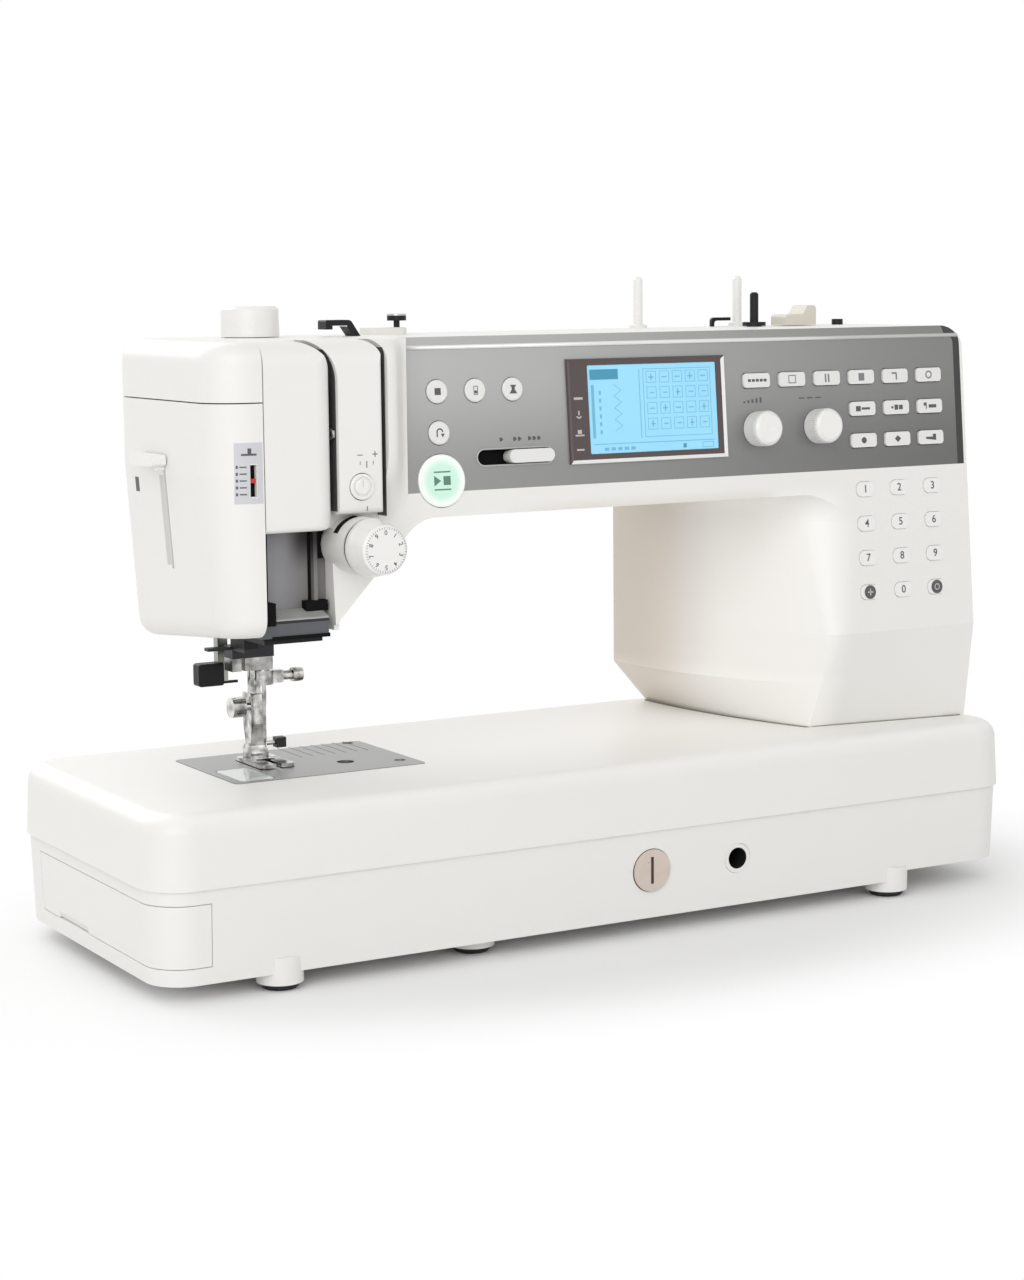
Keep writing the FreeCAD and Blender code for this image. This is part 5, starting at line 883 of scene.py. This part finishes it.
def addGauge(s):
    width, height = s["right"] - s["left"], s["high"] - s["low"]
    hole = [((s["slot"][0] - s["left"]) / width, (s["slot"][1] - s["left"]) / width,
             (s["slotZ"][0] - s["low"]) / height, (s["slotZ"][1] - s["low"]) / height)]
    addPatch("gauge_ground", "face_cover", (s["left"], s["start"], s["low"]), (width, 0, 0), (0, 0, height),
             (54, 52), alongY, s["lift"] / 2, "label", hole)
    marks = {}
    for i in range(5):
        z = s["slotZ"][0] + 1 + 3.2 * i
        marks["tick_%d" % (i + 1)] = (-199.4, z, 3.2, 0.6, (6, 1))
        marks["step_%d" % (i + 1)] = (-201.0, z - 0.4, 0.9, 1.4, (3, 1))
    marks["sign_foot"] = (-198.6, 254.4, 7.4, 0.9, (8, 1))
    marks["sign_bar"] = (-195.6, 255.2, 1.8, 2.6, (4, 2))
    for name, (x, z, wide, high, steps) in marks.items():
        addPatch("gauge_" + name, "face_cover", (x, s["start"], z), (wide, 0, 0), (0, 0, high), steps, alongY,
                 s["lift"], "mark")
    # Near-black floor behind the gauge's slot: painted shade
    back = bmesh.new()
    addPrism(back, rect(-195.3, -190.5, 234, 251), frontSeat(0, -74.6, 0), 0.2)
    addPiece("gauge_slot_shade_floor", back, "blackShade")


addGauge(gaugeSet)
# Grey stripe on the face cover along the threader lever's channel: painted shade
addPatch("threader_channel_shade", "face_cover", (-250, -14.4, 198.4), (0, 5.2, 0), (0, 0, 44), (4, 14), alongX,
         0.05, "channel")
addPatch("face_slit", "face_cover", (-250, 17.8, 232.4), (0, 4.6, 0), (0, 0, 7.2), (4, 6), alongX, 0.05,
         "mark")

footSet = {"wide": 0.7, "high": 0.45, "above": 2.0, "left": 118, "right": 242, "back": 78, "sideStep": 4,
           "sideSteps": 36, "frontSteps": 40}


# Thin painted shadow line where the column stands on the bed, traced along its foot
def addFootSeam(s):
    trees = [surfaceTree("front_housing"), surfaceTree("rear_housing")]
    top = surfaceSeat("bed_cover", (0, 0, 200), -alongZ).translation
    level = top.z + s["above"] * mm
    path = []
    for i in range(s["sideSteps"]):
        start = at(0, s["back"] - s["sideStep"] * i, 0)
        start.z = level
        hits = [hit for hit in (tree.ray_cast(start, alongX)[0] for tree in trees) if hit]
        if hits:
            near = min(hits, key=lambda hit: hit.x)
            path.append((near.x, near.y, -alongX))
    for i in range(s["frontSteps"]):
        x = s["left"] + (s["right"] - s["left"]) * i / (s["frontSteps"] - 1)
        start = at(x, -140, 0)
        start.z = level
        hit = trees[0].ray_cast(start, alongY)[0]
        if hit and hit.x > path[-1][0] + 0.5 * mm:
            path.append((hit.x, hit.y, -alongY))
    bm = bmesh.new()
    rows = []
    for x, y, out in path:
        outer = Vector((x, y, 0)) + out * s["wide"] * mm
        inner = Vector((x, y, 0)) - out * s["wide"] * mm
        low, high = Vector((0, 0, top.z - sunk * mm)), Vector((0, 0, top.z + s["high"] * mm))
        rows.append([bm.verts.new(v) for v in (inner + low, outer + low, outer + high, inner + high)])
    joinRows(bm, rows)
    addPiece("column_foot_seam_shadow", bm, "seam")


addFootSeam(footSet)
print("thread path, dial figures, gauge and foot seam made")


# Repeating pieces come from Geometry Nodes
def newTree(name, lengths, counted=False):
    tree = bpy.data.node_groups.new(name, "GeometryNodeTree")
    if counted:
        tree.interface.new_socket("Count", in_out="INPUT", socket_type="NodeSocketInt")
    for label in lengths:
        tree.interface.new_socket(label, in_out="INPUT", socket_type="NodeSocketFloat")
    tree.interface.new_socket("Material", in_out="INPUT", socket_type="NodeSocketMaterial")
    tree.interface.new_socket("Geometry", in_out="OUTPUT", socket_type="NodeSocketGeometry")
    return tree, tree.nodes.new("NodeGroupInput").outputs, tree.nodes.new("NodeGroupOutput")


def endTree(tree, given, out, geometry):
    realize = tree.nodes.new("GeometryNodeRealizeInstances")
    paint = tree.nodes.new("GeometryNodeSetMaterial")
    tree.links.new(geometry, realize.inputs[0])
    tree.links.new(realize.outputs[0], paint.inputs["Geometry"])
    tree.links.new(given["Material"], paint.inputs["Material"])
    tree.links.new(paint.outputs[0], out.inputs[0])


# Ribs standing round a circle, each pointing outwards
def ribRingTree():
    tree, given, out = newTree("ribRing", ("Radius", "Depth", "Width", "Length"), counted=True)
    nodes, links = tree.nodes, tree.links
    circle = nodes.new("GeometryNodeMeshCircle")
    links.new(given["Count"], circle.inputs["Vertices"])
    links.new(given["Radius"], circle.inputs["Radius"])
    size = nodes.new("ShaderNodeCombineXYZ")
    for label, socket in zip(("Depth", "Width", "Length"), size.inputs):
        links.new(given[label], socket)
    rib = nodes.new("GeometryNodeMeshCube")
    links.new(size.outputs[0], rib.inputs["Size"])
    position = nodes.new("GeometryNodeInputPosition")
    turn = nodes.new("FunctionNodeAlignRotationToVector")
    turn.axis = "X"
    links.new(position.outputs[0], turn.inputs["Vector"])
    instance = nodes.new("GeometryNodeInstanceOnPoints")
    links.new(circle.outputs["Mesh"], instance.inputs["Points"])
    links.new(rib.outputs["Mesh"], instance.inputs["Instance"])
    links.new(turn.outputs[0], instance.inputs["Rotation"])
    endTree(tree, given, out, instance.outputs[0])
    return tree


# Bars in a row along X
def barRowTree():
    tree, given, out = newTree("barRow", ("Pitch", "Width", "Length", "Height"), counted=True)
    nodes, links = tree.nodes, tree.links
    offset = nodes.new("ShaderNodeCombineXYZ")
    links.new(given["Pitch"], offset.inputs[0])
    line = nodes.new("GeometryNodeMeshLine")
    links.new(given["Count"], line.inputs["Count"])
    links.new(offset.outputs[0], line.inputs["Offset"])
    size = nodes.new("ShaderNodeCombineXYZ")
    for label, socket in zip(("Width", "Length", "Height"), size.inputs):
        links.new(given[label], socket)
    bar = nodes.new("GeometryNodeMeshCube")
    links.new(size.outputs[0], bar.inputs["Size"])
    instance = nodes.new("GeometryNodeInstanceOnPoints")
    links.new(line.outputs["Mesh"], instance.inputs["Points"])
    links.new(bar.outputs["Mesh"], instance.inputs["Instance"])
    endTree(tree, given, out, instance.outputs[0])
    return tree


# Screw head with a crossed recess
def screwTree():
    tree, given, out = newTree("screwHead", ("Radius", "Depth"))
    nodes, links = tree.nodes, tree.links
    head = nodes.new("GeometryNodeMeshCylinder")
    head.inputs["Vertices"].default_value = 40
    links.new(given["Radius"], head.inputs["Radius"])
    links.new(given["Depth"], head.inputs["Depth"])
    cut = nodes.new("GeometryNodeMeshBoolean")
    links.new(head.outputs["Mesh"], cut.inputs["Mesh 1"])
    for long, wide in ((1.3, 0.28), (0.28, 1.3)):
        size = nodes.new("ShaderNodeCombineXYZ")
        links.new(mathNode(tree, "MULTIPLY", given["Radius"], long), size.inputs[0])
        links.new(mathNode(tree, "MULTIPLY", given["Radius"], wide), size.inputs[1])
        links.new(given["Depth"], size.inputs[2])
        slot = nodes.new("GeometryNodeMeshCube")
        links.new(size.outputs[0], slot.inputs["Size"])
        raised = nodes.new("GeometryNodeTransform")
        lift = nodes.new("ShaderNodeCombineXYZ")
        links.new(mathNode(tree, "MULTIPLY", given["Depth"], 0.6), lift.inputs[2])
        links.new(slot.outputs["Mesh"], raised.inputs["Geometry"])
        links.new(lift.outputs[0], raised.inputs["Translation"])
        links.new(raised.outputs[0], cut.inputs["Mesh 2"])
    endTree(tree, given, out, cut.outputs["Mesh"])
    return tree


def treeMesh(tree, values):
    holder = linked("holder", bpy.data.meshes.new("holder"))
    modifier = holder.modifiers.new("nodes", "NODES")
    modifier.node_group = tree
    for item in tree.interface.items_tree:
        if item.in_out == "INPUT":
            value = values[item.name]
            modifier[item.identifier] = value * mm if item.socket_type == "NodeSocketFloat" else value
    mesh = plainMesh(holder)
    bpy.data.objects.remove(holder)
    return mesh


def addTreePiece(name, tree, values, places, body="machine"):
    material = finishes[values["Material"]]
    whole = bmesh.new()
    for place in places:
        mesh = treeMesh(tree, {**values, "Material": material})
        mesh.transform(place)
        whole.from_mesh(mesh)
        bpy.data.meshes.remove(mesh)
    finished = bpy.data.meshes.new(name)
    whole.to_mesh(finished)
    whole.free()
    placePiece(name, finished, material, body)


ribRing = ribRingTree()
barRow = barRowTree()
screwHead = screwTree()
wheelSet = {"Count": 90, "Radius": 32.9, "Depth": 0.9, "Width": 1.0, "Length": 10.0, "Material": "trim"}
endSeat = seat(at(254.4, 10, 252), alongY, alongZ)
addTreePiece("hand_wheel_grip", ribRing, wheelSet, [endSeat], "drive")
dialTicks = {"Count": 50, "Radius": 10.4, "Depth": 1.0, "Width": 0.25, "Length": 0.1, "Material": "softMark"}
tensionSeat = frontSeat(tensionSet["x"], tensionSet["face"], tensionSet["z"])
addTreePiece("tension_ticks", ribRing, dialTicks, [tensionSeat], "tension_dial")
knobRibs = {"Count": 48, "Radius": 8.95, "Depth": 0.5, "Width": 0.5, "Length": 8.0, "Material": "trim"}
for body, x in (("width_dial", 105.5), ("length_dial", 144.6)):
    addTreePiece(body + "_grip", ribRing, knobRibs, [panelSeat(x, 255.1, 5.4)], body)
thumbRibs = {"Count": 30, "Radius": 5.12, "Depth": 0.3, "Width": 0.5, "Length": 5.6, "Material": "foot"}
thumbSeat = seat(at(-160, 22, 119), alongY, alongZ)
addTreePiece("thumb_screw_grip", ribRing, thumbRibs, [thumbSeat], "presser_bar")
clampRibs = {"Count": 22, "Radius": 3.45, "Depth": 0.3, "Width": 0.4, "Length": 4.2, "Material": "chrome"}
clampSeat = seat(at(-131.7, 10, 135.4), alongY, alongZ)
addTreePiece("clamp_screw_grip", ribRing, clampRibs, [clampSeat], "needle_bar")
backScrews = [surfaceSeat("rear_housing", (x, 150, z), -alongY) for x, z in
              ((-150, 286), (40, 286), (126, 112), (230, 112), (230, 212))]
screwSet = {"Radius": 3.2, "Depth": 1.0, "Material": "alloy"}
addTreePiece("back_screws", screwHead, screwSet, backScrews)
underScrews = [surfaceSeat("bed_base", (x, y, -20), alongZ) for x, y in
               ((-215, 62), (-215, -62), (0, 76), (0, -76), (215, 62), (215, -62))]
underSet = {"Radius": 3.6, "Depth": 1.0, "Material": "alloy"}
addTreePiece("under_screws", screwHead, underSet, underScrews)
plateLines = {"Count": 7, "Pitch": 6.35, "Width": 0.35, "Length": 30, "Height": 0.1, "Material": "mark"}
lineSeat = Matrix.Translation(at(-126, 32, 90.62))
addTreePiece("seam_lines", barRow, plateLines, [lineSeat])
addPatch("rating_plate", "rear_housing", (205, 150, 196), (-52, 0, 0), (0, 0, 26), (6, 4), -alongY, 0.25,
         "lip")
switchMarks = {"off": {"y": -9.2, "wide": 3.4, "high": 3.4, "holes": ((0.3, 0.7, 0.24, 0.76),)},
               "on": {"y": 3.2, "wide": 0.9, "high": 5.2, "holes": ()}}
for name, s in switchMarks.items():
    addPatch("switch_mark_" + name, "power_switch", (300, s["y"], 31.4), (0, s["wide"], 0), (0, 0, s["high"]),
             (3, 4), -alongX, 0.06, "iconMark", s["holes"], "power_switch")
print("ribs, screws and lines made")

studio = {"floor": 8.0, "near": 0.17, "far": 0.31, "squash": (0.75, 1.25, 1), "paper": (0.88, 0.88, 0.88, 1),
          "world": 0.67}
lights = {
    "keyLight": {"place": (-1.35, -1.7, 1.2), "target": (0, 0, 0.15), "size": 2.0, "power": 22},
    "fillLight": {"place": (0.9, -2.0, 1.4), "target": (0, 0, 0.15), "size": 1.8, "power": 3},
    "backLight": {"place": (-0.5, 1.7, 1.5), "target": (0, 0, 0.1), "size": 1.8, "power": 20},
}


# Rays from the eye, and those seen in metal and glass
def seenRays(tree):
    path = tree.nodes.new("ShaderNodeLightPath").outputs
    seen = mathNode(tree, "MAXIMUM", path["Is Camera Ray"], path["Is Glossy Ray"])
    return mathNode(tree, "MAXIMUM", seen, path["Is Transmission Ray"])


def blended(tree, factor, first, second, output):
    blend = tree.nodes.new("ShaderNodeMixShader")
    for socket, value in zip(blend.inputs, (factor, first, second)):
        tree.links.new(value, socket)
    tree.links.new(blend.outputs[0], tree.nodes[output].inputs["Surface"])


# Pale floor: lit and shaded round the machine, plain white further out
def addFloor(s):
    mesh = bpy.data.meshes.new("floor")
    half = s["floor"]
    mesh.from_pydata([(x, y, 0) for x, y in rect(-half, half, -half, half)], [], [(0, 1, 2, 3)])
    floor = linked("floor", mesh)
    material, tree, shader, coords = newMaterial("paper_floor")
    shader.inputs["Base Color"].default_value = s["paper"]
    shader.inputs["Roughness"].default_value = 0.9
    white = tree.nodes.new("ShaderNodeEmission")
    length = tree.nodes.new("ShaderNodeVectorMath")
    length.operation = "LENGTH"
    tree.links.new(stretched(tree, coords, s["squash"]), length.inputs[0])
    fade = ranged(tree, length.outputs["Value"], s["near"], s["far"], eased=True)
    share = mathNode(tree, "MULTIPLY", fade, seenRays(tree))
    blended(tree, share, shader.outputs[0], white.outputs[0], "Material Output")
    mesh.materials.append(material)


def addLight(name, s):
    data = bpy.data.lights.new(name, "AREA")
    data.size = s["size"]
    data.energy = s["power"]
    light = linked(name, data)
    light.location = s["place"]
    light.rotation_euler = (Vector(s["target"]) - Vector(s["place"])).to_track_quat("-Z", "Y").to_euler()


def addWorld(s):
    world = bpy.data.worlds.new("softBox")
    bpy.context.scene.world = world
    world.use_nodes = True
    tree = world.node_tree
    soft = tree.nodes["Background"]
    white = tree.nodes.new("ShaderNodeBackground")
    for sky in (soft, white):
        sky.inputs["Color"].default_value = (1, 1, 1, 1)
    soft.inputs["Strength"].default_value = s["world"]
    blended(tree, seenRays(tree), soft.outputs[0], white.outputs[0], "World Output")


addFloor(studio)
for name, s in lights.items():
    addLight(name, s)
addWorld(studio)
bpy.context.scene.view_settings.view_transform = "Standard"

print("scene ready")
